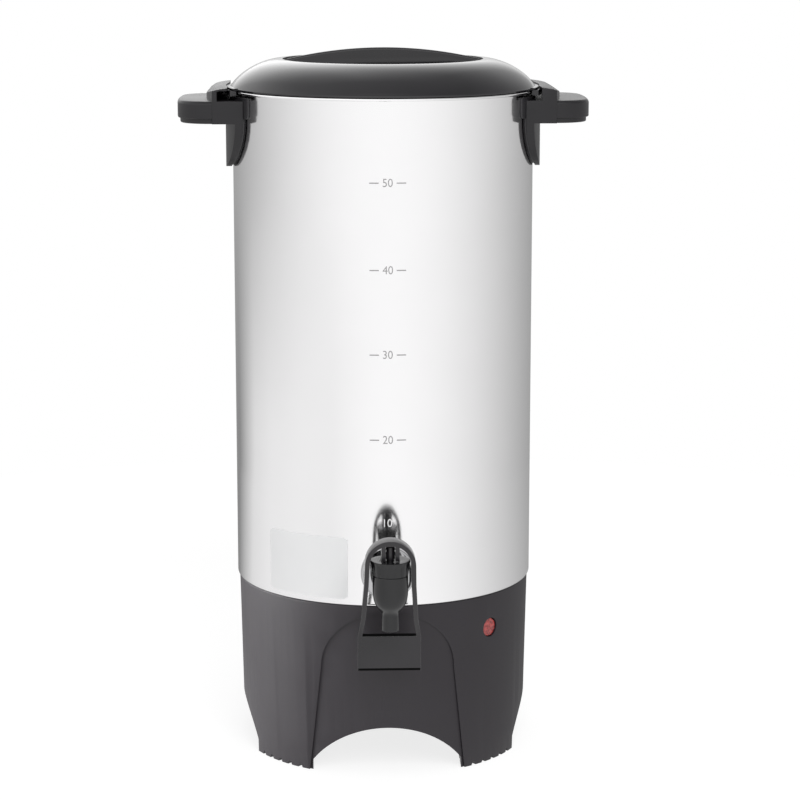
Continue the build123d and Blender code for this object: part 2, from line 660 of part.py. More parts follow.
def lever_front(inset, low, knee):
    """Front-view outline of the lever frame, drawn inwards by inset, down to a straight lower edge."""
    arch = ARCH_HALF - inset
    paddle = PADDLE_HALF - inset
    right = [(arch, 0, 158), (arch + 0.5, 0, 142), (arch + 2.2, 0, 117), (paddle, 0, knee), (paddle, 0, low)]
    left = [(-x, y, z) for x, y, z in reversed(right)]
    crown = ThreePointArc((-arch, 0, 158), (0, 0, LEVER_TOP_Z - inset), (arch, 0, 158))
    return make_face(Polyline(*right, *left) + crown)


def faucet_lever():
    """Push-back lever: arch over the bonnet, two ears on the stem head, two legs and the paddle."""
    front = lever_front(0, PADDLE_Z[0], PADDLE_Z[1])
    window = lever_front(LEG_THICK, PADDLE_Z[1], PADDLE_Z[1] + 1.5)
    frame = along_y(front, -170, -100) - along_y(window, -175, -95)
    y_front = FAUCET_Y - HEEL_HALF
    y_back = FAUCET_Y + HEEL_HALF
    side = make_face(Polyline(
        (0, y_front, 174), (0, y_back, 174), (0, y_back, 160), (0, -127.5, 122), (0, -120.2, 104),
        (0, -119.4, 79), (0, -122.6, 79), (0, -123.6, 104), (0, -134.0, 122), (0, y_front, 156), close=True))
    profile = Pos(-30, 0, 0) * extrude(side, amount=60, dir=(1, 0, 0))
    lever = frame & profile
    ear_low = BONNET_Z[1] + 0.35
    ears = block((-EAR_X[1], EAR_X[1]), (y_front, y_back), (ear_low, LEVER_TOP_Z - 2))
    ears -= block((-EAR_X[0], EAR_X[0]), (y_front, y_back), (ear_low, PIVOT_Z + 4))
    lever += ears & along_y(front, -170, -100)
    lever -= rod_x(PIN_R + 0.05, -8, 8, FAUCET_Y, PIVOT_Z)
    return lever


# ---------------------------------------------------------------- percolator
def percolator_tube():
    return ring(TUBE_R, TUBE_R - 0.6, 112.4, 438)


def pump_foot():
    """Bell that stands in the well and carries the tube, with the valve seat inside."""
    bell = turned([
        (7.2, 101.0), (18.0, 101.0), (18.0, 103.4), (15.0, 105.6), (9.0, 114.0), (6.4, 120.0), (6.4, 127.0),
        (TUBE_R + 0.02, 127.0), (TUBE_R + 0.02, 112.2), (7.2, 110.6),
    ])
    seat = ring(7.3, 3.4, 104.4, 105.2)
    for slot in around(Pos(0, 12, 101.4) * Box(5, 20, 2.4), 4):
        bell -= slot
    return bell + seat


def pump_washer():
    return ring(6.6, 1.0, 105.3, 106.1)


def basket_seat():
    low = BASKET_Z[0] - 4.0
    return ring(8.0, TUBE_R + 0.02, low, BASKET_Z[0] - 0.1)


def coffee_basket():
    """Open basket with a perforated floor and a centre sleeve round the pump tube."""
    low, high = BASKET_Z
    wall = ring(BASKET_R, BASKET_R - 0.8, low, high) + ring(BASKET_R + 2.6, BASKET_R - 0.8, high - 0.8, high)
    floor = ring(BASKET_R, TUBE_R + 0.6, low, low + 0.8)
    sleeve = ring(TUBE_R + 1.4, TUBE_R + 0.6, low, high + 6)
    for radius, count in ((16, 8), (26, 14), (36, 20), (46, 24), (56, 30)):
        for hole in around(Pos(0, radius, low) * Cylinder(1.1, 4), count):
            floor -= hole
    return wall + floor + sleeve


def basket_cover():
    """Perforated spreader that lies on the basket's rim."""
    high = BASKET_Z[1]
    cover = turned([
        (TUBE_R + 2.0, high + 3.2), (TUBE_R + 2.0, high + 2.4), (60, high + 2.4), (70.0, high + 0.05),
        (BASKET_R + 2.0, high + 0.05), (BASKET_R + 2.0, high + 0.85), (70.3, high + 0.85), (60.3, high + 3.2),
    ])
    for radius, count in ((14, 8), (26, 16), (38, 22), (50, 28)):
        for hole in around(Pos(0, radius, high + 2) * Cylinder(1.2, 6), count, 7):
            cover -= hole
    return cover


# ---------------------------------------------------------------- heating and wiring
def brew_heater():
    """Sheathed ring round the well, open at the back where its two terminal pins turn down."""
    loop = Pos(0, 0, 104.2) * Torus(HEATER_RING_R, 4.0)
    loop -= block((-7, 7), (10, 40), (95, 115))
    for x in (-HEATER_PIN_X, HEATER_PIN_X):
        loop += Pos(x, HEATER_PIN_Y, 0) * rod(2.0, HEATER_PIN_Z, 103)
    return loop


def heater_clamp():
    clamp = ring(33.0, 3.2, 98.3, 99.9)
    for x in (-HEATER_PIN_X, HEATER_PIN_X):
        clamp -= Pos(x, HEATER_PIN_Y, 0) * rod(4.0, 90, 102)
    return clamp


def clamp_stud():
    return rod(3.0, 88, WELL_Z)


def clamp_nut():
    return hexagon(10, 92.6, 98.2, 3.03)


def keep_warm_heater():
    """Flat band heater under the tank floor, open at the back for the thermostat."""
    return sector(56, 36, -140, 140, FLOOR_Z - 2.0, FLOOR_Z)


def thermostat():
    body = rod(8.2, 110.4, FLOOR_Z) + rod(9.6, FLOOR_Z - 1.2, FLOOR_Z)
    for x in (-4, 4):
        body += Pos(x, 0, 0) * block((-0.4, 0.4), (-3, 3), (103, 111))
    return Pos(0, 47, 0) * body


def thermal_fuse():
    body = rod_x(3.0, -6, 6, 0, 0) + rod_x(0.6, -11, 11, 0, 0)
    return Pos(20, 38, FLOOR_Z - 3.2) * body


def terminal_block():
    body = block((30, 60), (TERMINAL_Y - 6, TERMINAL_Y + 6), (103, FLOOR_Z - DECK_THICK))
    for x in TERMINAL_X:
        body -= Pos(x, TERMINAL_Y, 0) * rod(1.6, 100, 109)
    return body


def power_inlet():
    """Appliance inlet: flange outside the wall, sleeve through it and a deep socket."""

    def inlet_box(half_x, half_z, y_low, y_high, corner_r):
        box = block((-half_x, half_x), (y_low, y_high), (INLET_Z - half_z, INLET_Z + half_z))
        return fillet(box.edges().filter_by(Axis.Y), corner_r)

    pad = inlet_box(25, 14, 88, INLET_FACE_Y, 5.0)
    pad -= Cone(BASE_FOOT_R + 0.05, BASE_TOP_R + 0.05, FLOOR_Z, align=(Align.CENTER, Align.CENTER, Align.MIN))
    sleeve = inlet_box(*SLEEVE_HALF, SOCKET_FLOOR_Y - 4, 98.4, 2.0)
    socket = inlet_box(*SOCKET_HALF, SOCKET_FLOOR_Y, 110, 2.0)
    inlet = pad + sleeve - socket
    for x in (-PIN_GAP / 2, PIN_GAP / 2):
        inlet -= rod_y(CONTACT_TAIL_R + 0.1, 70, 80, x, INLET_Z)
    for x in (-INLET_SCREW_X, INLET_SCREW_X):
        inlet -= rod_y(1.7, 85, 105, x, INLET_Z)
    return inlet


def inlet_pins():
    """Two contact pins with a thinner tail through the back of the socket."""
    pins = []
    for x in (-PIN_GAP / 2, PIN_GAP / 2):
        pin = rod_y(CONTACT_R, SOCKET_FLOOR_Y, 95, x, INLET_Z)
        pin = fillet(pin.edges().group_by(Axis.Y)[-1], 1.2)
        pins.append(pin + rod_y(CONTACT_TAIL_R, PIN_TAIL_Y, SOCKET_FLOOR_Y + 1, x, INLET_Z))
    return pins


def inlet_screws():
    screw = Rot(90, 0, 0) * pan_screw(1.45, 12, 2.9, 1.6)
    return [Pos(x, INLET_FACE_Y, INLET_Z) * screw for x in (-INLET_SCREW_X, INLET_SCREW_X)]


def wire_run(points, radius=1.2, bend=6.0):
    path = FilletPolyline(*points, radius=bend)
    return sweep(Plane(path @ 0, z_dir=path % 0) * Circle(radius), path=path)


def wiring():
    """Insulated leads between inlet, terminal block, heater pins, thermostat and lamp."""
    lamp = math.radians(LAMP_AZ)
    lamp_r = base_radius(LAMP_Z) - BASE_WALL - LAMP_TUBE_LENGTH - 0.4
    lamp_x, lamp_y = lamp_r * math.sin(lamp), -lamp_r * math.cos(lamp)
    pin_x = PIN_GAP / 2
    first, second, third = TERMINAL_X
    block_z = 103.0
    live = [(pin_x, PIN_TAIL_Y, INLET_Z), (pin_x, 56, INLET_Z), (first, 56, 72), (first, TERMINAL_Y, 86),
            (first, TERMINAL_Y, block_z)]
    neutral = [(-pin_x, PIN_TAIL_Y, INLET_Z), (-pin_x, 50, INLET_Z), (-HEATER_PIN_X, HEATER_PIN_Y, 66),
               (-HEATER_PIN_X, HEATER_PIN_Y, HEATER_PIN_Z)]
    heater = [(HEATER_PIN_X, HEATER_PIN_Y, HEATER_PIN_Z), (HEATER_PIN_X, HEATER_PIN_Y, 72), (34, 36, 78),
              (second, TERMINAL_Y, 86), (second, TERMINAL_Y, block_z)]
    signal = [(third, TERMINAL_Y, block_z), (third, TERMINAL_Y, 90), (66, 20, 84), (60, -20, 88),
              (lamp_x - 8, lamp_y + 8, LAMP_Z), (lamp_x, lamp_y, LAMP_Z)]
    return [wire_run(points) for points in (live, neutral, heater, signal)]


# ---------------------------------------------------------------- nodes
def solids_of(shape):
    """Flatten a shape or a list of shapes into its separate solids."""
    if isinstance(shape, (list, tuple)):
        return [solid for item in shape for solid in solids_of(item)]
    return list(shape.solids())


def main():
    handle = handle_body()
    saddle = handle_saddle()
    nodes = {
        "tank_body": tank_body(),
        "tank_label": tank_label(),
        "tank_studs": tank_studs(),
        "tank_nuts": tank_nuts(),
        "base_housing": base_housing(),
        "bottom_cover": bottom_cover(),
        "cover_screws": cover_screws(),
        "indicator_lens": indicator_lens(),
        "lamp_holder": lamp_holder(),
        "lid_dome": lid_dome(),
        "lid_grip": lid_grip(),
        "lid_grip_screws": lid_grip_screws(),
        "handle_right": handle,
        "handle_left": Rot(0, 0, 180) * handle,
        "handle_saddle_right": saddle,
        "handle_saddle_left": Rot(0, 0, 180) * saddle,
        "handle_screws": handle_screws(),
        "faucet_flange": faucet_flange(),
        "faucet_gasket": faucet_gasket(),
        "faucet_nut": faucet_nut(),
        "faucet_body": faucet_body(),
        "faucet_bonnet": faucet_bonnet(),
        "valve_stem": valve_stem(),
        "valve_cup": valve_cup(),
        "valve_spring": valve_spring(),
        "lever_pin": lever_pin(),
        "faucet_lever": faucet_lever(),
        "percolator_tube": percolator_tube(),
        "pump_foot": pump_foot(),
        "pump_washer": pump_washer(),
        "basket_seat": basket_seat(),
        "coffee_basket": coffee_basket(),
        "basket_cover": basket_cover(),
        "brew_heater": brew_heater(),
        "heater_clamp": heater_clamp(),
        "clamp_stud": clamp_stud(),
        "clamp_nut": clamp_nut(),
        "keep_warm_heater": keep_warm_heater(),
        "thermostat": thermostat(),
        "thermal_fuse": thermal_fuse(),
        "terminal_block": terminal_block(),
        "power_inlet": power_inlet(),
        "inlet_pins": inlet_pins(),
        "inlet_screws": inlet_screws(),
        "wiring": wiring(),
    }
    os.makedirs("parts", exist_ok=True)
    for name, shape in nodes.items():
        solids = [Pos(0, AXIS_Y, 0) * solid for solid in solids_of(shape)]
        piece = solids[0] if len(solids) == 1 else Compound(children=solids)
        export_step(piece, f"parts/{name}.step")


main()
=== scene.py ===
"""Coffee urn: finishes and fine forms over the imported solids.

Metres in the row frame: +Z up, front towards -Y, floor at Z = 0, tank axis at Y = AXIS_Y.
Sizes inside the making functions are in millimetres about the tank axis, and MM turns them into metres.
"""

import math

import bmesh
import bpy
from mathutils import Matrix, Vector


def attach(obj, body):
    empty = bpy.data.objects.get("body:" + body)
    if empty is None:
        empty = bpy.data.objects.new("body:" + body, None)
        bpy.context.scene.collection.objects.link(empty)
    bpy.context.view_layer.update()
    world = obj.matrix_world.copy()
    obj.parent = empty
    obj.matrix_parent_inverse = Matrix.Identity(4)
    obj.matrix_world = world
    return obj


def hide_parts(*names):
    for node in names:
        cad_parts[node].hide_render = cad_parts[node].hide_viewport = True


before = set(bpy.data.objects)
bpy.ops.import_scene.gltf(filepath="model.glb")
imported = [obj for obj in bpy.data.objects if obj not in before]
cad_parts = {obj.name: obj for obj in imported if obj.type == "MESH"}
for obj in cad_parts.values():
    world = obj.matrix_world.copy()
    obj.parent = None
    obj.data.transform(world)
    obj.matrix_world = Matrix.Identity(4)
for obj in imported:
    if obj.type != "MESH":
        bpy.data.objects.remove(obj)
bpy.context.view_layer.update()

MM = 0.001
AXIS_Y = 0.028125
FLOOR_Z = 116.4
RIM_Z = 446.0
TANK_R = 100.0
LID_Z = 446.3
FAUCET_Y = -145.0
FAUCET_Z = 139.5
LABEL_Z = 141.5
LENS_Z = 93.45
LENS_AZIMUTH = math.radians(44.55)
LEVEL_HEIGHTS = {50: 393.0, 40: 337.5, 30: 283.0, 20: 227.5, 10: 172.6}
FIGURE_HEIGHT = 5.3
DASH_OFFSET = 8.7
DASH_LENGTH = 6.0
DASH_WIDTH = 0.75
BONNET_RIBS = 14
BONNET_JOIN = 0.000002
TURNED_SIDES = 256
MERGE_DISTANCE = 3e-6
FLAT_ANGLE = 0.6
BEVEL_ANGLE = 28.0
BEVEL_STEPS = 3
BEVELLED_CREASE = 44
WALL_RADIUS = 2600.0
WALL_TOP = 760.0
TABLE_RADIUS = 900.0
TABLE_Z = -0.02
IMAGE_WIDTH_PX = 800.0
FOCAL_PX = 2511.3
SENSOR_MM = 36.0


# ---------------------------------------------------------------- effects shared by several finishes
def effect(name, inputs, outputs):
    """Empty node group with float inputs (name: value) and the named outputs (name: socket type)."""
    group = bpy.data.node_groups.new(name, "ShaderNodeTree")
    for label, value in inputs.items():
        socket = group.interface.new_socket(label, in_out="INPUT", socket_type="NodeSocketFloat")
        socket.default_value = value
    for label, kind in outputs.items():
        group.interface.new_socket(label, in_out="OUTPUT", socket_type=kind)
    return group, group.nodes.new("NodeGroupInput"), group.nodes.new("NodeGroupOutput")


def node(tree, kind, links=None, **settings):
    """Add a node, set its attributes and connect or fill its inputs ({socket: value or output})."""
    made = tree.nodes.new(kind)
    for attribute, value in settings.items():
        setattr(made, attribute, value)
    for key, value in (links or {}).items():
        if isinstance(value, bpy.types.NodeSocket):
            tree.links.new(value, made.inputs[key])
        else:
            made.inputs[key].default_value = value
    return made


def reckoned(tree, operation, *values):
    """Output of a math node with its inputs in order."""
    return node(tree, "ShaderNodeMath", dict(enumerate(values)), operation=operation).outputs[0]


def ranged(tree, value, low, high, to_low=0.0, to_high=1.0):
    """A value mapped from low and high to to_low and to_high, and held at both ends."""
    limits = {"From Min": low, "From Max": high, "To Min": to_low, "To Max": to_high}
    return node(tree, "ShaderNodeMapRange", {"Value": value, **limits}).outputs[0]


def moulded_grain():
    """Fine spark-eroded grain of a moulding, with slow unevenness in gloss from handling."""
    group, given, out = effect(
        "moulded_grain",
        {"Scale": 2600.0, "Patch Scale": 22.0, "Low Roughness": 0.3, "High Roughness": 0.42},
        {"Height": "NodeSocketFloat", "Roughness": "NodeSocketFloat", "Tone": "NodeSocketFloat"},
    )
    place = node(group, "ShaderNodeTexCoord").outputs["Object"]
    fine = given.outputs["Scale"]
    grain = node(group, "ShaderNodeTexNoise", {"Vector": place, "Scale": fine, "Detail": 3.0})
    pits = node(group, "ShaderNodeTexVoronoi", {"Vector": place, "Scale": fine})
    height = reckoned(group, "ADD", grain.outputs["Fac"], pits.outputs["Distance"])
    patch = node(group, "ShaderNodeTexNoise",
                 {"Vector": place, "Scale": given.outputs["Patch Scale"], "Detail": 5.0, "Roughness": 0.6})
    rough = ranged(group, patch.outputs["Fac"], 0.3, 0.7,
                   given.outputs["Low Roughness"], given.outputs["High Roughness"])
    group.links.new(height, out.inputs["Height"])
    group.links.new(rough, out.inputs["Roughness"])
    group.links.new(patch.outputs["Fac"], out.inputs["Tone"])
    return group


def polish_haze():
    """Fine drawn lines round a turned or rolled metal surface, with faint cloudy wipe marks."""
    group, given, out = effect(
        "polish_haze",
        {"Line Scale": 900.0, "Low Roughness": 0.1, "High Roughness": 0.2},
        {"Height": "NodeSocketFloat", "Roughness": "NodeSocketFloat", "Tone": "NodeSocketFloat"},
    )
    place = node(group, "ShaderNodeTexCoord").outputs["Object"]
    squeeze = node(group, "ShaderNodeMapping", {"Vector": place, "Scale": (0.03, 0.03, 1.0)})
    lines = node(group, "ShaderNodeTexNoise",
                 {"Vector": squeeze.outputs[0], "Scale": given.outputs["Line Scale"], "Detail": 4.0})
    cloud = node(group, "ShaderNodeTexNoise",
                 {"Vector": place, "Scale": 9.0, "Detail": 6.0, "Roughness": 0.65})
    blend = reckoned(group, "ADD", lines.outputs["Fac"], cloud.outputs["Fac"])
    rough = ranged(group, blend, 0.7, 1.3, given.outputs["Low Roughness"], given.outputs["High Roughness"])
    group.links.new(lines.outputs["Fac"], out.inputs["Height"])
    group.links.new(rough, out.inputs["Roughness"])
    group.links.new(cloud.outputs["Fac"], out.inputs["Tone"])
    return group


def worn_edge():
    """Mask of a moulding's rounded edges, broken up by noise, for edge wear and, where the edge colour is
    pale, a painted edge highlight; edges carry the attribute "edge".
    """
    group, given, out = effect("worn_edge", {"Break Up": 240.0}, {"Mask": "NodeSocketFloat"})
    edge = node(group, "ShaderNodeAttribute", attribute_name="edge")
    place = node(group, "ShaderNodeTexCoord").outputs["Object"]
    noise = node(group, "ShaderNodeTexNoise",
                 {"Vector": place, "Scale": given.outputs["Break Up"], "Detail": 4.0})
    mask = reckoned(group, "MULTIPLY", edge.outputs["Fac"], noise.outputs["Fac"])
    group.links.new(mask, out.inputs["Mask"])
    return group


MOULDED_GRAIN = moulded_grain()
POLISH_HAZE = polish_haze()
EDGE_WEAR_AND_HIGHLIGHT = worn_edge()


# ---------------------------------------------------------------- finishes
def finish_named(name):
    """New material with its Principled BSDF, ready for nodes."""
    made = bpy.data.materials.new(name)
    made.use_nodes = True
    return made, made.node_tree, made.node_tree.nodes["Principled BSDF"]


def placed(tree, group, **values):
    """A shared effect placed in a material, with its own values (underscores stand for spaces)."""
    made = tree.nodes.new("ShaderNodeGroup")
    made.node_tree = group
    for label, value in values.items():
        made.inputs[label.replace("_", " ")].default_value = value
    return made


def toned(tree, factor, dark, light):
    """Colour that runs from dark to light with a factor between 0.3 and 0.7."""
    ramp = tree.nodes.new("ShaderNodeValToRGB")
    ramp.color_ramp.elements[0].position = 0.3
    ramp.color_ramp.elements[0].color = (*dark, 1.0)
    ramp.color_ramp.elements[1].position = 0.7
    ramp.color_ramp.elements[1].color = (*light, 1.0)
    tree.links.new(factor, ramp.inputs["Fac"])
    return ramp.outputs["Color"]


def bumped(tree, shader, height, strength, depth):
    """Give a shader its relief from a height."""
    bump = node(tree, "ShaderNodeBump", {"Height": height, "Strength": strength, "Distance": depth})
    tree.links.new(bump.outputs["Normal"], shader.inputs["Normal"])


RUBBED_GREY = (0.07, 0.068, 0.072)


def moulded_plastic(name, dark, light, low, high, edge_colour_worn_and_lit=RUBBED_GREY, relief=0.25, gloss=0.5):
    """Moulded thermoplastic: grain, uneven gloss and lightly worn edges; a pale edge colour also paints a
    highlight along the rounded edges.
    """
    made, tree, shader = finish_named(name)
    grain = placed(tree, MOULDED_GRAIN, Low_Roughness=low, High_Roughness=high)
    worn_and_lit_mask = placed(tree, EDGE_WEAR_AND_HIGHLIGHT)
    base = toned(tree, grain.outputs["Tone"], dark, light)
    mixed = node(tree, "ShaderNodeMix", {"Factor": worn_and_lit_mask.outputs["Mask"]}, data_type="RGBA")
    mixed.inputs["B"].default_value = (*edge_colour_worn_and_lit, 1.0)
    tree.links.new(base, mixed.inputs["A"])
    tree.links.new(mixed.outputs["Result"], shader.inputs["Base Color"])
    tree.links.new(grain.outputs["Roughness"], shader.inputs["Roughness"])
    shader.inputs["Specular IOR Level"].default_value = gloss
    bumped(tree, shader, grain.outputs["Height"], relief, 0.00006)
    return made


def worked_metal(name, dark, light, low, high, scale=900.0, relief=0.05):
    """Drawn, spun or turned metal with fine lines and wipe marks."""
    made, tree, shader = finish_named(name)
    haze = placed(tree, POLISH_HAZE, Line_Scale=scale, Low_Roughness=low, High_Roughness=high)
    shader.inputs["Metallic"].default_value = 1.0
    tree.links.new(toned(tree, haze.outputs["Tone"], dark, light), shader.inputs["Base Color"])
    tree.links.new(haze.outputs["Roughness"], shader.inputs["Roughness"])
    bumped(tree, shader, haze.outputs["Height"], relief, 0.00002)
    return made


def soft_moulding(name, dark, light, low, high, shine=0.0):
    """Silicone, ceramic or film: no worn edges, slow tone changes and a faint grain."""
    made, tree, shader = finish_named(name)
    grain = placed(tree, MOULDED_GRAIN, Scale=1400.0, Low_Roughness=low, High_Roughness=high)
    tree.links.new(toned(tree, grain.outputs["Tone"], dark, light), shader.inputs["Base Color"])
    tree.links.new(grain.outputs["Roughness"], shader.inputs["Roughness"])
    shader.inputs["Coat Weight"].default_value = shine
    bumped(tree, shader, grain.outputs["Height"], 0.12, 0.00004)
    return made


def braided_sleeve():
    """Glass-fibre sleeve on the leads: crossed fine yarns."""
    made, tree, shader = finish_named("braided_sleeve")
    place = node(tree, "ShaderNodeTexCoord").outputs["Object"]
    waves = [
        node(tree, "ShaderNodeTexWave", {"Vector": place, "Scale": 420.0, "Distortion": 1.5},
             wave_type="BANDS", bands_direction=way)
        for way in ("X", "DIAGONAL")
    ]
    weave = reckoned(tree, "MULTIPLY", waves[0].outputs["Fac"], waves[1].outputs["Fac"])
    tree.links.new(toned(tree, weave, (0.42, 0.39, 0.33), (0.62, 0.59, 0.52)), shader.inputs["Base Color"])
    shader.inputs["Roughness"].default_value = 0.7
    bumped(tree, shader, weave, 0.4, 0.0001)
    return made


def lamp_lens():
    """Unlit translucent red lens with fine facets moulded behind its face."""
    made, tree, shader = finish_named("lamp_lens")
    place = node(tree, "ShaderNodeTexCoord").outputs["Object"]
    facets = node(tree, "ShaderNodeTexVoronoi", {"Vector": place, "Scale": 520.0})
    tree.links.new(toned(tree, facets.outputs["Distance"], (0.22, 0.013, 0.013), (0.45, 0.055, 0.05)),
                   shader.inputs["Base Color"])
    shader.inputs["Roughness"].default_value = 0.28
    shader.inputs["Subsurface Weight"].default_value = 0.25
    shader.inputs["Subsurface Radius"].default_value = (1.0, 0.2, 0.15)
    shader.inputs["Subsurface Scale"].default_value = 0.002
    shader.inputs["Coat Weight"].default_value = 0.6
    bumped(tree, shader, facets.outputs["Distance"], 0.5, 0.0004)
    return made


TANK_STEEL = worked_metal("tank_steel", (0.865, 0.86, 0.865), (0.895, 0.89, 0.895), 0.09, 0.14, 700.0, 0.012)
CHROME = worked_metal("flange_chrome", (0.44, 0.44, 0.45), (0.54, 0.54, 0.55), 0.05, 0.1, 1600.0, 0.03)
ZINC = worked_metal("zinc_plate", (0.52, 0.52, 0.53), (0.66, 0.66, 0.66), 0.22, 0.36, 1800.0, 0.15)
SPUN_ALUMINIUM = worked_metal("spun_aluminium", (0.64, 0.65, 0.66), (0.76, 0.77, 0.78), 0.26, 0.4,
                              1300.0, 0.2)
BRASS = worked_metal("turned_brass", (0.56, 0.44, 0.22), (0.68, 0.56, 0.32), 0.2, 0.34, 2000.0, 0.15)
LID_BLACK = moulded_plastic("lid_black", (0.010, 0.0095, 0.011), (0.013, 0.012, 0.0145), 0.09, 0.12,
                            relief=0.03, gloss=0.62)
HANDLE_BLACK = moulded_plastic("handle_black", (0.009, 0.0085, 0.010), (0.013, 0.012, 0.014), 0.34, 0.40,
                               relief=0.12, gloss=0.4)
SADDLE_BLACK = moulded_plastic("saddle_black", (0.020, 0.019, 0.021), (0.026, 0.025, 0.028), 0.36, 0.44)
FAUCET_BLACK = moulded_plastic("faucet_black", (0.006, 0.006, 0.007), (0.009, 0.009, 0.010), 0.12, 0.18,
                               relief=0.04)
# Lever: its pale edge colour is partly edge wear and partly a painted highlight along all its rounded edges.
LEVER_BLACK = moulded_plastic("lever_black", (0.013, 0.012, 0.014), (0.018, 0.016, 0.019), 0.16, 0.22,
                              edge_colour_worn_and_lit=(0.24, 0.235, 0.24), relief=0.06)
BASE_CHARCOAL = moulded_plastic("base_charcoal", (0.013, 0.010, 0.0135), (0.017, 0.014, 0.018), 0.48, 0.54,
                                relief=0.18)
# Near-black finish used only for painted shade along the paddle's edges.
PAINTED_SHADE_BLACK = moulded_plastic("painted_shade_black", (0.0015, 0.0015, 0.0015), (0.0025, 0.0025, 0.0025), 0.8, 0.9,
                             edge_colour_worn_and_lit=(0.002, 0.002, 0.002), gloss=0.08)
COVER_BLACK = moulded_plastic("cover_black", (0.026, 0.025, 0.027), (0.036, 0.035, 0.037), 0.45, 0.6,
                              relief=0.4)
LABEL_FILM = soft_moulding("label_film", (0.84, 0.845, 0.85), (0.88, 0.88, 0.885), 0.34, 0.46, 0.1)
SILICONE = soft_moulding("silicone", (0.50, 0.48, 0.45), (0.60, 0.58, 0.55), 0.42, 0.55)
CERAMIC = soft_moulding("lamp_ceramic", (0.62, 0.60, 0.55), (0.74, 0.72, 0.67), 0.5, 0.65)
ETCHED_GREY = soft_moulding("etched_grey", (0.30, 0.295, 0.30), (0.36, 0.355, 0.36), 0.6, 0.75)
ETCHED_PALE = soft_moulding("etched_pale", (0.84, 0.84, 0.84), (0.92, 0.92, 0.92), 0.6, 0.75)
SLEEVING = braided_sleeve()
LENS_RED = lamp_lens()


# ---------------------------------------------------------------- mesh making
def mark_edges(mesh, flags):
    """Write the "edge" attribute that the edge wear and painted edge highlight read, one value for each face.
    """
    layer = mesh.attributes.new("edge", "FLOAT", "FACE")
    layer.data.foreach_set("value", [float(flag) for flag in flags])


def made_piece(name, mesh, body, finish, replaces=(), crease=32.0):
    """Link a finished mesh as a piece: smooth faces with sharp edges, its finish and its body."""
    mesh.name = name
    mesh.polygons.foreach_set("use_smooth", [True] * len(mesh.polygons))
    mesh.set_sharp_from_angle(angle=math.radians(crease))
    mesh.materials.clear()
    mesh.materials.append(finish)
    piece = bpy.data.objects.new(name, mesh)
    bpy.context.scene.collection.objects.link(piece)
    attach(piece, body)
    if replaces:
        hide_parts(*replaces)
    return piece


def from_bmesh(bm, name):
    mesh = bpy.data.meshes.new(name)
    bm.to_mesh(mesh)
    bm.free()
    return mesh


def moved_mm(bm):
    """Turn a bmesh in millimetres about the tank axis into metres in the row frame."""
    place = Matrix.Translation((0, AXIS_Y, 0)) @ Matrix.Scale(MM, 4)
    bmesh.ops.transform(bm, matrix=place, verts=bm.verts)


def laid_level(bm, y, z):
    """Turn a part from upright to level, its own Z towards +Y, and set it at a depth and a height in mm."""
    place = Matrix.Translation((0, y, z)) @ Matrix.Rotation(-math.pi / 2, 4, "X")
    bmesh.ops.transform(bm, matrix=place, verts=bm.verts)


def arc(r_mid, z_mid, radius, start, end, steps):
    """Points of an arc in an (r, z) profile, from start to end degrees."""
    points = []
    for i in range(steps + 1):
        a = math.radians(start + (end - start) * i / steps)
        points.append((r_mid + radius * math.cos(a), z_mid + radius * math.sin(a)))
    return points


def curve(p0, p1, p2, p3, steps):
    """Points of a cubic Bezier in an (r, z) profile."""
    points = []
    for i in range(steps + 1):
        t = i / steps
        w = ((1 - t) ** 3, 3 * t * (1 - t) ** 2, 3 * t * t * (1 - t), t ** 3)
        points.append(tuple(sum(k * p[j] for k, p in zip(w, (p0, p1, p2, p3))) for j in (0, 1)))
    return points


def turned(profile, sides, closed=True, swell=None):
    """Bmesh of a profile of (r, z) turned about Z. swell(angle, r, z) may change r."""
    bm = bmesh.new()
    rings = []
    for r, z in profile:
        if r < 1e-6:
            rings.append([bm.verts.new((0, 0, z))])
            continue
        verts = []
        for i in range(sides):
            a = 2 * math.pi * i / sides
            radius = swell(a, r, z) if swell else r
            verts.append(bm.verts.new((radius * math.sin(a), -radius * math.cos(a), z)))
        rings.append(verts)
    pairs = list(zip(rings, rings[1:]))
    if closed and len(rings[0]) > 1 and len(rings[-1]) > 1:
        pairs.append((rings[-1], rings[0]))
    for low, high in pairs:
        for i in range(sides):
            j = (i + 1) % sides
            corners = [low[i % len(low)], low[j % len(low)], high[j % len(high)], high[i % len(high)]]
            unique = list(dict.fromkeys(corners))
            if len(unique) > 2:
                bm.faces.new(unique)
    bmesh.ops.recalc_face_normals(bm, faces=bm.faces)
    return bm


def solid_copy(name):
    """Merged copy of a CAD node's mesh, with its flat faces joined up again."""
    bm = bmesh.new()
    bm.from_mesh(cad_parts[name].data)
    bmesh.ops.remove_doubles(bm, verts=bm.verts, dist=MERGE_DISTANCE)
    bmesh.ops.dissolve_limit(bm, angle_limit=math.radians(FLAT_ANGLE), verts=bm.verts, edges=bm.edges,
                             delimit={"NORMAL"})
    bmesh.ops.recalc_face_normals(bm, faces=bm.faces)
    return bm


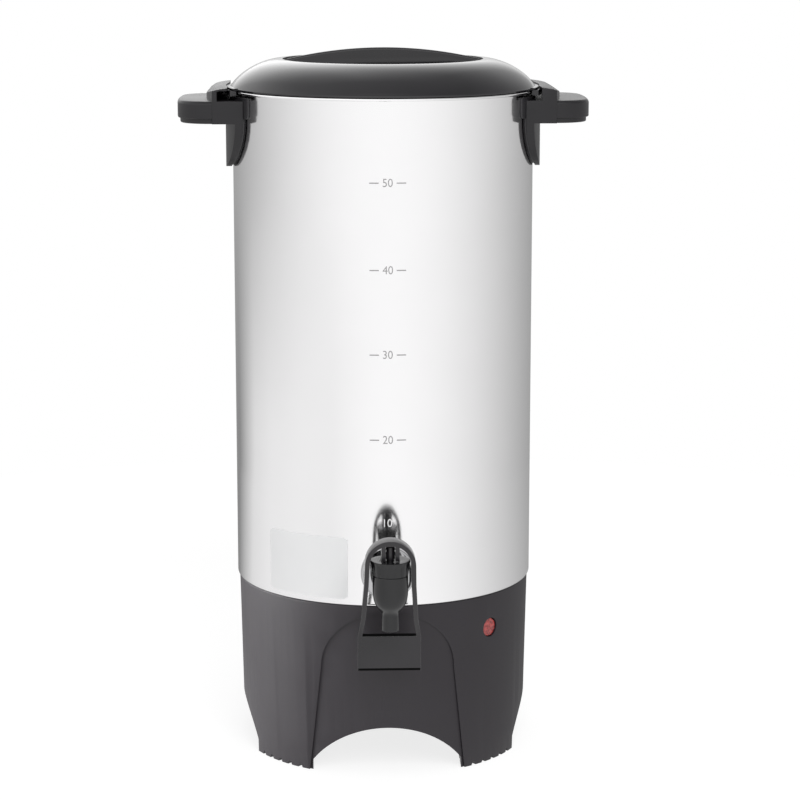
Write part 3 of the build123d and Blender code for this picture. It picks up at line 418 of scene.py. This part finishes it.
def softened(name, source, body, finish, width):
    """A moulding from its CAD solid, with the small edge radii that the mould gives it, marked as edges."""
    piece = made_piece(name, from_bmesh(solid_copy(source), name), body, finish)
    piece.data.materials.append(finish)
    bevel = piece.modifiers.new("edge_radius", "BEVEL")
    bevel.width = width * MM
    bevel.segments = BEVEL_STEPS
    bevel.limit_method = "ANGLE"
    bevel.angle_limit = math.radians(BEVEL_ANGLE)
    bevel.use_clamp_overlap = True
    bevel.material = 1
    rounded = bpy.data.meshes.new_from_object(piece.evaluated_get(bpy.context.evaluated_depsgraph_get()))
    piece.modifiers.clear()
    piece.data = rounded
    mark_edges(rounded, [face.material_index for face in rounded.polygons])
    rounded.polygons.foreach_set("material_index", [0] * len(rounded.polygons))
    rounded.materials.clear()
    rounded.materials.append(finish)
    rounded.polygons.foreach_set("use_smooth", [True] * len(rounded.polygons))
    rounded.set_sharp_from_angle(angle=math.radians(BEVELLED_CREASE))
    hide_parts(source)
    return piece


# ---------------------------------------------------------------- tank
def tank():
    """Tank wall, rolled rim and floor."""
    bead_mid = RIM_Z - 1.0
    low = FLOOR_Z
    profile = [(0, 100.0), (18.8, 100.0), *arc(18.8, 102.0, 2.0, -90, 0, 6), (20.8, low - 1.4)]
    profile += [(22.2, low), (97.8, low), *arc(97.8, low + 2.2, 2.2, -90, 0, 8)]
    profile += [(100.0, z) for z in range(130, 440, 10)]
    profile += [(100.0, 442.4), *arc(100.5, bead_mid, 1.0, -120, 200, 22)]
    profile += [(99.2, bead_mid - 1.2), (99.2, low + 2.2), (97.8, low + 0.8), (20.0, low + 0.8)]
    profile += [(20.0, 100.8), (0, 100.8)]
    bm = turned(profile, TURNED_SIDES)
    moved_mm(bm)
    made_piece("tank", from_bmesh(bm, "tank"), "urn", TANK_STEEL, ["tank_body"], 50.0)


def figures(text, height):
    """Flat outline figures of a level number, centred, in millimetres."""
    font = bpy.data.curves.new("figures", "FONT")
    font.body = text
    font.size = 1.0
    font.resolution_u = 6
    holder = bpy.data.objects.new("figures", font)
    bpy.context.scene.collection.objects.link(holder)
    flat = bpy.data.meshes.new_from_object(holder.evaluated_get(bpy.context.evaluated_depsgraph_get()))
    bpy.data.objects.remove(holder)
    bm = bmesh.new()
    bm.from_mesh(flat)
    xs = [v.co.x for v in bm.verts]
    ys = [v.co.y for v in bm.verts]
    scale = height / (max(ys) - min(ys))
    mid_x, mid_y = (max(xs) + min(xs)) / 2, (max(ys) + min(ys)) / 2
    for v in bm.verts:
        v.co = ((v.co.x - mid_x) * scale * 0.92, (v.co.y - mid_y) * scale, 0)
    return bm


def wrapped(bm, radius, z_mid):
    """Lay a flat drawing (x to the right, y up, in mm) on the front of the tank."""
    for v in bm.verts:
        a = v.co.x / radius
        v.co = (radius * math.sin(a), -radius * math.cos(a), z_mid + v.co.y)


def level_marks():
    """Etched level marks: 50 to 20 with a dash on each side, and 10 without."""
    for number, z in LEVEL_HEIGHTS.items():
        name = f"level_{number}"
        finish = ETCHED_PALE if number == 10 else ETCHED_GREY
        bm = figures(str(number), FIGURE_HEIGHT)
        if number > 10:
            for side in (-1, 1):
                dash = Matrix.Diagonal((DASH_LENGTH, DASH_WIDTH, 1, 1))
                bmesh.ops.create_grid(bm, x_segments=6, y_segments=1, size=0.5,
                                      matrix=Matrix.Translation((side * DASH_OFFSET, -0.2, 0)) @ dash)
        bmesh.ops.triangulate(bm, faces=bm.faces)
        wrapped(bm, TANK_R + 0.06, z)
        bmesh.ops.recalc_face_normals(bm, faces=bm.faces)
        for face in bm.faces:
            if face.normal.y > 0:
                face.normal_flip()
        moved_mm(bm)
        made_piece(name, from_bmesh(bm, name), "urn", finish)


def label():
    """Blank film label with rounded corners on the lower left of the tank."""
    low, high = math.radians(-49.9), math.radians(-15.2)
    half_w, half_h = TANK_R * (high - low) / 2, 20.5
    mid = TANK_R * (low + high) / 2
    corner = 1.6
    bm = bmesh.new()
    columns = 24
    for layer in (TANK_R + 0.20, TANK_R + 0.03):
        rows = []
        for i in range(columns + 1):
            x = -half_w + 2 * half_w * i / columns
            inset = max(0.0, abs(x) - (half_w - corner))
            y = half_h - corner + math.sqrt(max(0.0, corner ** 2 - inset ** 2))
            a = (mid + x) / TANK_R
            foot = (layer * math.sin(a), -layer * math.cos(a))
            rows.append([bm.verts.new((*foot, LABEL_Z + s * y)) for s in (-1, 1)])
        for left, right in zip(rows, rows[1:]):
            bm.faces.new([left[0], right[0], right[1], left[1]])
    bm.verts.ensure_lookup_table()
    rim = [e for e in bm.edges if e.is_boundary]
    bmesh.ops.bridge_loops(bm, edges=rim)
    bmesh.ops.recalc_face_normals(bm, faces=bm.faces)
    moved_mm(bm)
    made_piece("blank_label", from_bmesh(bm, "blank_label"), "urn", LABEL_FILM, ["tank_label"])


# ---------------------------------------------------------------- lid
def lid():
    """Domed lid with its finger well, turned."""
    top = LID_Z
    dome = [(101.5, top), (101.5, top + 0.8), *arc(100.9, top + 0.85, 0.6, 0, 60, 3)]
    dome += curve((101.1, top + 1.5), (96.5, top + 9.2), (82.0, top + 19.2), (67.5, top + 19.2), 40)
    dome += [*arc(66.3, top + 17.3, 1.9, 82, 20, 8), (64.4, top + 15.8)]
    dome += [(61.9, top + 5.4), *arc(60.2, top + 5.5, 1.5, -10, -90, 5), (30.0, top + 4.0), (0, top + 4.0)]
    under = [(0, top + 1.4), (63.9, top + 1.4), (67.1, top + 14.0)]
    under += curve((67.1, top + 14.0), (77.0, top + 17.8), (88.0, top + 10.6), (94.2, top + 3.0), 10)[1:]
    under += [(94.2, top - 6.0), (96.2, top - 6.0), (96.2, top)]
    bm = turned(dome + under, TURNED_SIDES)
    moved_mm(bm)
    made_piece("lid_shell", from_bmesh(bm, "lid_shell"), "lid", LID_BLACK, ["lid_dome"], 42.0)


def lock_lug(side):
    """Stepped lug on the lid's rim that turns in under a handle's hood."""
    top = LID_Z
    section = [(97.5, top + 0.1), (102.2, top + 0.1), (102.2, top - 3.1), (102.5, top - 3.4)]
    section += [(106.1, top - 3.4), (106.4, top - 3.1), (106.4, top), (106.1, top + 0.3)]
    section += [(103.6, top + 0.3), (103.6, top + 1.3), (103.3, top + 1.6), (97.5, top + 1.6)]
    bm = bmesh.new()
    rows = []
    for i in range(25):
        a = math.radians(side * 90 - 19.0 + 38.0 * i / 24)
        rows.append([bm.verts.new((r * math.sin(a), -r * math.cos(a), z)) for r, z in section])
    for row, following in zip(rows, rows[1:]):
        for k in range(len(section)):
            m = (k + 1) % len(section)
            bm.faces.new([row[k], row[m], following[m], following[k]])
    bm.faces.new(rows[0])
    bm.faces.new(rows[-1])
    bmesh.ops.recalc_face_normals(bm, faces=bm.faces)
    moved_mm(bm)
    name = "lock_lug_right" if side > 0 else "lock_lug_left"
    made_piece(name, from_bmesh(bm, name), "lid", LID_BLACK, crease=30.0)


# ---------------------------------------------------------------- faucet
def bulb_profile():
    """Profile of the bulb with its spout below and its bore inside."""
    bulb = [(3.5, 113.8), (5.1, 113.8), *arc(5.1, 114.3, 0.5, -90, 0, 4)]
    bulb += [(5.5, 118.0), (5.35, 124.2)]
    bulb += curve((5.35, 124.2), (5.6, 126.6), (8.0, 128.0), (9.4, 130.6), 8)
    bulb += curve((9.4, 130.6), (10.8, 133.4), (11.3, 136.8), (11.3, 140.5), 8)[1:]
    bulb += [(11.3, 149.6), *arc(10.9, 149.6, 0.4, 0, 90, 3), (10.2, 150.0), (10.2, 156.4), (8.6, 156.4)]
    bulb += [(8.6, 140.0), (8.2, 134.2), (5.0, 130.0), (3.5, 128.2)]
    return bulb


def faucet():
    """Faucet moulding: bulb with its parting line, spout, neck, collar and shank."""
    def seam(a, r, z):
        """Slightly raised parting line down the front and back of the bulb."""
        off = min(abs((a + math.pi) % (2 * math.pi) - math.pi), abs(a - math.pi)) * r
        return r + 0.12 * max(0.0, 1 - off / 0.35) if r > 5 and z < 150.5 else r

    bulb = turned(bulb_profile(), 192, swell=seam)
    bmesh.ops.transform(bulb, matrix=Matrix.Translation((0, FAUCET_Y, 0)), verts=bulb.verts)
    moved_mm(bulb)
    made_piece("faucet_bulb", from_bmesh(bulb, "faucet_bulb"), "urn", FAUCET_BLACK,
               ["faucet_body"], 40.0)
    neck = [(4.6, 0.0), (4.6, 60.0), (7.85, 60.0), (7.85, 41.0), (11.0, 40.9)]
    neck += [*arc(10.4, 37.9, 1.1, 0, -80, 5), (9.0, 36.4), *arc(8.7, 34.9, 1.5, 100, 180, 6), (7.2, 10.0)]
    bm = turned(neck, 96)
    laid_level(bm, FAUCET_Y, FAUCET_Z)
    moved_mm(bm)
    made_piece("faucet_neck", from_bmesh(bm, "faucet_neck"), "urn", FAUCET_BLACK, crease=40.0)


def grip_rib(count):
    """One rib of the bonnet with half a groove on each side, as an open strip of the turned cap."""
    low, high = 150.2, 159.8
    profile = [(10.35, low), (11.2, low), *arc(11.0, low + 0.4, 0.4, -60, 0, 3), (11.6, 152.4), (12.1, 156.0)]
    profile += [(12.45, 157.8), (12.75, 158.9), *arc(12.25, 159.3, 0.5, 0, 90, 4), (3.0, high)]
    profile += [(2.5, high - 0.4), (2.5, high - 3.0), (10.35, high - 3.0)]
    columns = 20
    bm = bmesh.new()
    rows = []
    for i in range(columns + 1):
        part = 2 * i / columns - 1
        a = math.pi / count * part
        row = []
        for r, z in profile:
            if r > 10.6 and z < high - 0.3:
                depth = 0.62 * min(1.0, (high - z) / 1.2) * min(1.0, z - low + 0.4)
                r -= depth * max(0.0, -math.cos(math.pi * part)) ** 1.6
            row.append(bm.verts.new((r * math.sin(a), -r * math.cos(a), z)))
        rows.append(row)
    for left, right in zip(rows, rows[1:]):
        for k in range(len(profile)):
            m = (k + 1) % len(profile)
            bm.faces.new([left[k], right[k], right[m], left[m]])
    bmesh.ops.transform(bm, matrix=Matrix.Scale(MM, 4), verts=bm.verts)
    return from_bmesh(bm, "grip_rib")


def ring_of_parts(part, finish):
    """Node tree that sets copies of a part round the Z axis and joins them at their common edges."""
    tree = bpy.data.node_groups.new("ring_of_parts", "GeometryNodeTree")
    sockets = {}
    asked = {"Geometry": "NodeSocketGeometry", "Count": "NodeSocketInt", "Place": "NodeSocketVector",
             "Join": "NodeSocketFloat"}
    for label, kind in asked.items():
        sockets[label] = tree.interface.new_socket(label, in_out="INPUT", socket_type=kind).identifier
    tree.interface.new_socket("Geometry", in_out="OUTPUT", socket_type="NodeSocketGeometry")
    given, out = tree.nodes.new("NodeGroupInput"), tree.nodes.new("NodeGroupOutput")
    line = node(tree, "GeometryNodeMeshLine", {"Count": given.outputs["Count"], "Offset": (0, 0, 0)})
    index = tree.nodes.new("GeometryNodeInputIndex")
    step = reckoned(tree, "DIVIDE", 2 * math.pi, given.outputs["Count"])
    turn = node(tree, "ShaderNodeCombineXYZ", {"Z": reckoned(tree, "MULTIPLY", index.outputs[0], step)})
    spread = node(tree, "GeometryNodeInstanceOnPoints",
                  {"Points": line.outputs["Mesh"], "Instance": given.outputs["Geometry"],
                   "Rotation": turn.outputs[0]})
    whole = node(tree, "GeometryNodeRealizeInstances", {"Geometry": spread.outputs[0]})
    joined = node(tree, "GeometryNodeMergeByDistance",
                  {"Geometry": whole.outputs[0], "Distance": given.outputs["Join"]})
    set_down = node(tree, "GeometryNodeTransform",
                    {"Geometry": joined.outputs[0], "Translation": given.outputs["Place"]})
    dressed = node(tree, "GeometryNodeSetMaterial", {"Geometry": set_down.outputs[0], "Material": finish})
    tree.links.new(dressed.outputs[0], out.inputs[0])
    draft = bpy.data.objects.new("ring_of_parts", part)
    bpy.context.scene.collection.objects.link(draft)
    return draft, tree, sockets


def bonnet():
    """Conical cap nut, its grip ribs set round it by rule."""
    draft, tree, sockets = ring_of_parts(grip_rib(BONNET_RIBS), FAUCET_BLACK)
    ring = draft.modifiers.new("ring_of_parts", "NODES")
    ring.node_group = tree
    ring[sockets["Count"]] = BONNET_RIBS
    ring[sockets["Place"]] = (0.0, AXIS_Y + FAUCET_Y * MM, 0.0)
    ring[sockets["Join"]] = BONNET_JOIN
    mesh = bpy.data.meshes.new_from_object(draft.evaluated_get(bpy.context.evaluated_depsgraph_get()))
    bpy.data.objects.remove(draft)
    made_piece("bonnet", mesh, "urn", FAUCET_BLACK, ["faucet_bonnet"], 40.0)


def flange():
    """Bright washer dished against the tank."""
    profile = [(8.2, 95.2), (8.2, 103.0), (8.6, 103.4), (11.6, 103.5), (14.6, 103.5)]
    profile += [*arc(16.4, 102.1, 1.4, 90, 0, 8), (17.8, 98.7), (17.2, 98.6)]
    bm = turned([(r, -y) for r, y in profile], 128)
    for v in bm.verts:
        if v.co.z > -100:
            v.co.z = -math.sqrt(max(1.0, (TANK_R + 0.05) ** 2 - v.co.x ** 2))
    laid_level(bm, 0, FAUCET_Z)
    moved_mm(bm)
    made_piece("flange", from_bmesh(bm, "flange"), "urn", CHROME, ["faucet_flange"], 40.0)


def rubber_lip(name, half_length, z_low, z_high, y_front, y_back, radius):
    """Black strip with rounded edges along an edge of the paddle: painted shade, standing for the shadow
    along that edge.
    """
    bm = bmesh.new()
    bmesh.ops.create_cube(bm, size=1.0)
    middle = Vector((0, (y_front + y_back) / 2, (z_low + z_high) / 2))
    stretch = Matrix.Diagonal((2 * half_length, y_back - y_front, z_high - z_low, 1.0))
    bmesh.ops.transform(bm, matrix=Matrix.Translation(middle) @ stretch, verts=bm.verts)
    bmesh.ops.bevel(bm, geom=bm.edges[:], offset=radius, segments=4, profile=0.5, affect="EDGES")
    moved_mm(bm)
    made_piece(name, from_bmesh(bm, name), "lever", PAINTED_SHADE_BLACK, crease=40.0)


# ---------------------------------------------------------------- lamp
def lens():
    """Round lens, gently domed, with a bevelled edge."""
    face = 96.95
    profile = [(0, face + 0.35), (2.6, face + 0.28), (4.6, face + 0.1), *arc(5.35, face - 0.7, 0.9, 70, 0, 5)]
    profile += [(6.3, face - 3.4), (0, face - 3.4)]
    bm = turned(profile, 96)
    turn = Matrix.Rotation(LENS_AZIMUTH, 4, "Z") @ Matrix.Translation((0, 0, LENS_Z))
    bmesh.ops.transform(bm, matrix=turn @ Matrix.Rotation(math.pi / 2, 4, "X"), verts=bm.verts)
    moved_mm(bm)
    made_piece("lens", from_bmesh(bm, "lens"), "urn", LENS_RED, ["indicator_lens"], 50.0)


# ---------------------------------------------------------------- finishes of the CAD nodes that stay
NODE_FINISHES = {
    ZINC: ["tank_studs", "tank_nuts", "cover_screws", "lid_grip_screws", "handle_screws", "valve_spring",
           "lever_pin", "pump_washer", "heater_clamp", "clamp_stud", "clamp_nut", "thermal_fuse",
           "inlet_screws"],
    SPUN_ALUMINIUM: ["percolator_tube", "pump_foot", "basket_seat", "coffee_basket", "basket_cover",
                     "brew_heater", "keep_warm_heater"],
    BRASS: ["faucet_nut", "inlet_pins"],
    SILICONE: ["faucet_gasket", "valve_cup"],
    CERAMIC: ["lamp_holder", "thermostat", "terminal_block"],
    COVER_BLACK: ["bottom_cover", "power_inlet"],
    LEVER_BLACK: ["valve_stem"],
    SLEEVING: ["wiring"],
}


def finish_nodes():
    """Give the CAD nodes that stay their finishes."""
    for finish, names in NODE_FINISHES.items():
        for name in names:
            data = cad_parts[name].data
            data.materials.clear()
            data.materials.append(finish)


# ---------------------------------------------------------------- studio
def stage_object(name, bm):
    """Object of the studio, made from a bmesh in millimetres."""
    moved_mm(bm)
    made = bpy.data.objects.new(name, from_bmesh(bm, name))
    bpy.context.scene.collection.objects.link(made)
    return made


def seen_directly(tree, path):
    """1 for rays from the camera and through clear matter, 0 for all others."""
    return reckoned(tree, "MAXIMUM", path.outputs["Is Camera Ray"], path.outputs["Is Transmission Ray"])


def plain_emission(name, colour, strength):
    """New material that only glows, with its tree and its emission node."""
    made = bpy.data.materials.new(name)
    made.use_nodes = True
    tree = made.node_tree
    tree.nodes.clear()
    out = tree.nodes.new("ShaderNodeOutputMaterial")
    glow = node(tree, "ShaderNodeEmission", {"Color": (*colour, 1.0), "Strength": strength})
    tree.links.new(glow.outputs[0], out.inputs["Surface"])
    return made, tree, glow


def reflected_tone(tree, way, low):
    """Strength of the surroundings by compass direction: bright in front, darker behind.

    Low down on the left it follows its own steps. way is a level unit vector from the studio's centre,
    and low runs from 0 at eye level to 1 on the table.
    """
    parts = node(tree, "ShaderNodeSeparateXYZ", {"Vector": way})
    even = ranged(tree, parts.outputs["Y"], -1.0, 1.0, 1.08, 0.36)
    turned_back = ranged(tree, parts.outputs["Y"], -1.0, 1.0)
    ramp = tree.nodes.new("ShaderNodeValToRGB")
    stops = ((0.0, 1.06), (0.12, 0.95), (0.31, 0.95), (0.58, 0.90), (0.75, 0.80), (0.86, 0.50), (0.94, 0.26))
    ramp.color_ramp.elements[0].position = stops[0][0]
    ramp.color_ramp.elements[1].position = stops[-1][0]
    for position, _ in stops[1:-1]:
        ramp.color_ramp.elements.new(position)
    for element, (_, tone) in zip(ramp.color_ramp.elements, stops):
        element.color = (tone, tone, tone, 1.0)
    tree.links.new(turned_back, ramp.inputs["Fac"])
    share = reckoned(tree, "MULTIPLY", ranged(tree, parts.outputs["X"], 0.0, -0.35), low)
    tone = node(tree, "ShaderNodeMix", {"Factor": share, "A": even, "B": ramp.outputs["Color"]})
    return tone.outputs["Result"]


def level_way(tree):
    """Level direction from the studio's centre to a point of a large surface, with the point itself."""
    place = node(tree, "ShaderNodeTexCoord").outputs["Object"]
    level = node(tree, "ShaderNodeVectorMath", {0: place, 1: (1, 1, 0)}, operation="MULTIPLY")
    return node(tree, "ShaderNodeVectorMath", {0: level.outputs[0]}, operation="NORMALIZE").outputs[0], place


def studio_wall():
    """Round studio wall, white above the object's height. Camera rays, diffuse rays and shadow rays don't see
    it; glossy and transmission rays do.
    """
    bm = turned([(WALL_RADIUS, -WALL_RADIUS), (WALL_RADIUS, WALL_TOP)], 96, closed=False)
    bmesh.ops.reverse_faces(bm, faces=bm.faces)
    wall = stage_object("studio_wall", bm)
    made, tree, glow = plain_emission("studio_wall", (1, 1, 1), 1.0)
    way, place = level_way(tree)
    height = node(tree, "ShaderNodeSeparateXYZ", {"Vector": place}).outputs["Z"]
    low = ranged(tree, height, 0.12, -0.3)
    above = ranged(tree, height, 0.42, 0.62)
    mixed = node(tree, "ShaderNodeMix", {"Factor": above, "A": reflected_tone(tree, way, low), "B": 1.0})
    tree.links.new(mixed.outputs["Result"], glow.inputs["Strength"])
    wall.data.materials.append(made)
    wall.visible_camera = False
    wall.visible_diffuse = False
    wall.visible_shadow = False


def floor():
    """Round pale table top. Glossy surfaces see it in the toned strength that the wall has too."""
    bm = turned([(0, TABLE_Z), (TABLE_RADIUS, TABLE_Z)], 96, closed=False)
    for face in bm.faces:
        if face.normal.z < 0:
            face.normal_flip()
    top = stage_object("table_top", bm)
    made = bpy.data.materials.new("table_top")
    made.use_nodes = True
    tree = made.node_tree
    shader = tree.nodes["Principled BSDF"]
    shader.inputs["Base Color"].default_value = (0.30, 0.30, 0.30, 1.0)
    shader.inputs["Roughness"].default_value = 0.9
    shader.inputs["Specular IOR Level"].default_value = 0.0
    shader.inputs["Emission Color"].default_value = (1, 1, 1, 1)
    path = node(tree, "ShaderNodeLightPath")
    own = node(tree, "ShaderNodeMix", {"Factor": seen_directly(tree, path), "A": 0.5, "B": 0.8})
    tree.links.new(own.outputs["Result"], shader.inputs["Emission Strength"])
    way, _ = level_way(tree)
    sent = node(tree, "ShaderNodeEmission",
                {"Color": (1, 1, 1, 1), "Strength": reflected_tone(tree, way, 1.0)})
    top_out = tree.nodes["Material Output"]
    mixed = node(tree, "ShaderNodeMixShader", {0: path.outputs["Is Glossy Ray"], 1: shader.outputs[0],
                                               2: sent.outputs[0]})
    tree.links.new(mixed.outputs[0], top_out.inputs["Surface"])
    top.data.materials.append(made)


def soft_light(name, place, aim, size, power, mirrored=False):
    """Rectangular lamp at a place, turned to its aim. Glossy surfaces see it only if mirrored."""
    lamp = bpy.data.lights.new(name, "AREA")
    lamp.shape = "RECTANGLE"
    lamp.size, lamp.size_y = size
    lamp.energy = power
    holder = bpy.data.objects.new(name, lamp)
    bpy.context.scene.collection.objects.link(holder)
    holder.location = place
    holder.rotation_euler = (Vector(aim) - Vector(place)).to_track_quat("-Z", "Y").to_euler()
    holder.visible_glossy = mirrored
    return holder


def mirrored_sky(tree):
    """Strength of the surroundings above the wall, as glossy surfaces mirror them.

    Darker overhead and on the right, with a bright upright strip behind the object and a bright area
    in front.
    """
    way = node(tree, "ShaderNodeTexCoord").outputs["Generated"]
    parts = node(tree, "ShaderNodeSeparateXYZ", {"Vector": way}).outputs
    raised = ranged(tree, parts["Z"], 0.2, 0.5, 0.0, 0.8)
    ahead = reckoned(tree, "MULTIPLY", ranged(tree, parts["Y"], -0.35, -0.8), raised)
    behind = ranged(tree, parts["Y"], 0.2, 0.6, 0.0, 1.2)
    beside = reckoned(tree, "ABSOLUTE", reckoned(tree, "ADD", parts["X"], 0.1))
    strip = ranged(tree, beside, 0.02, 0.4, 1.0, 0.0)
    left = reckoned(tree, "MULTIPLY_ADD", parts["X"], -0.5, 0.88)
    back = reckoned(tree, "MULTIPLY_ADD", behind, strip, left)
    level = reckoned(tree, "ADD", back, ahead)
    overhead = ranged(tree, parts["Z"], 0.5, 0.8, 1.0, 0.65)
    return reckoned(tree, "MULTIPLY", level, overhead)


def studio(base):
    """World, wall, table and lamps. The low lamp on the left is linked to the base alone."""
    world = bpy.data.worlds.new("studio")
    bpy.context.scene.world = world
    world.use_nodes = True
    tree = world.node_tree
    tree.nodes.clear()
    out = tree.nodes.new("ShaderNodeOutputWorld")
    path = node(tree, "ShaderNodeLightPath")
    even = node(tree, "ShaderNodeMix",
                {"Factor": path.outputs["Is Glossy Ray"], "A": 0.62, "B": mirrored_sky(tree)})
    strength = node(tree, "ShaderNodeMix",
                    {"Factor": seen_directly(tree, path), "A": even.outputs["Result"], "B": 1.0})
    back = node(tree, "ShaderNodeBackground", {"Color": (1, 1, 1, 1), "Strength": strength.outputs["Result"]})
    tree.links.new(back.outputs[0], out.inputs["Surface"])
    studio_wall()
    floor()
    soft_light("front_softbox", (0.3, -1.7, 1.5), (0, 0.03, 0.2), (1.2, 1.2), 22)
    edge_light = soft_light("left_softbox", (-1.5, 0.1, 0.35), (0, 0.03, 0.06), (1.6, 0.5), 38, mirrored=True)
    lit = bpy.data.collections.new("lit_from_left")
    lit.objects.link(base)
    edge_light.light_linking.receiver_collection = lit
    bpy.context.scene.view_settings.view_transform = "Standard"


def camera():
    """Camera a little above and slightly left of the front, 1.7 m away."""
    data = bpy.data.cameras.new("camera")
    data.sensor_width = SENSOR_MM
    data.lens = SENSOR_MM * FOCAL_PX / IMAGE_WIDTH_PX
    eye = bpy.data.objects.new("camera", data)
    bpy.context.scene.collection.objects.link(eye)
    turn, pitch = math.radians(2.1), math.radians(10.89)
    away = Vector((0.0114, -1.6802, 0.5577))
    eye.location = Matrix.Rotation(-turn, 4, "Z") @ away + Vector((0, AXIS_Y, 0))
    eye.rotation_euler = (math.pi / 2 - pitch, 0, -turn)
    bpy.context.scene.camera = eye


tank()
level_marks()
label()
lid()
lock_lug(1)
lock_lug(-1)
base = softened("base_moulding", "base_housing", "urn", BASE_CHARCOAL, 0.5)
softened("lid_bar", "lid_grip", "lid", LID_BLACK, 0.6)
for side in ("right", "left"):
    softened(f"handle_moulding_{side}", f"handle_{side}", "urn", HANDLE_BLACK, 0.5)
    softened(f"saddle_moulding_{side}", f"handle_saddle_{side}", "urn", SADDLE_BLACK, 0.4)
softened("lever_moulding", "faucet_lever", "lever", LEVER_BLACK, 0.6)
# Painted shade: near-black strips along the paddle's lower edge and along the lower edge of its window, where
# shadow falls.
rubber_lip("paddle_shade_strip_low", 20.1, 80.42, 81.9, -122.95, -121.6, 0.3)
rubber_lip("paddle_shade_strip_high", 17.2, 103.2, 104.7, -123.6, -120.9, 0.5)
faucet()
bonnet()
flange()
lens()
finish_nodes()
studio(base)
camera()
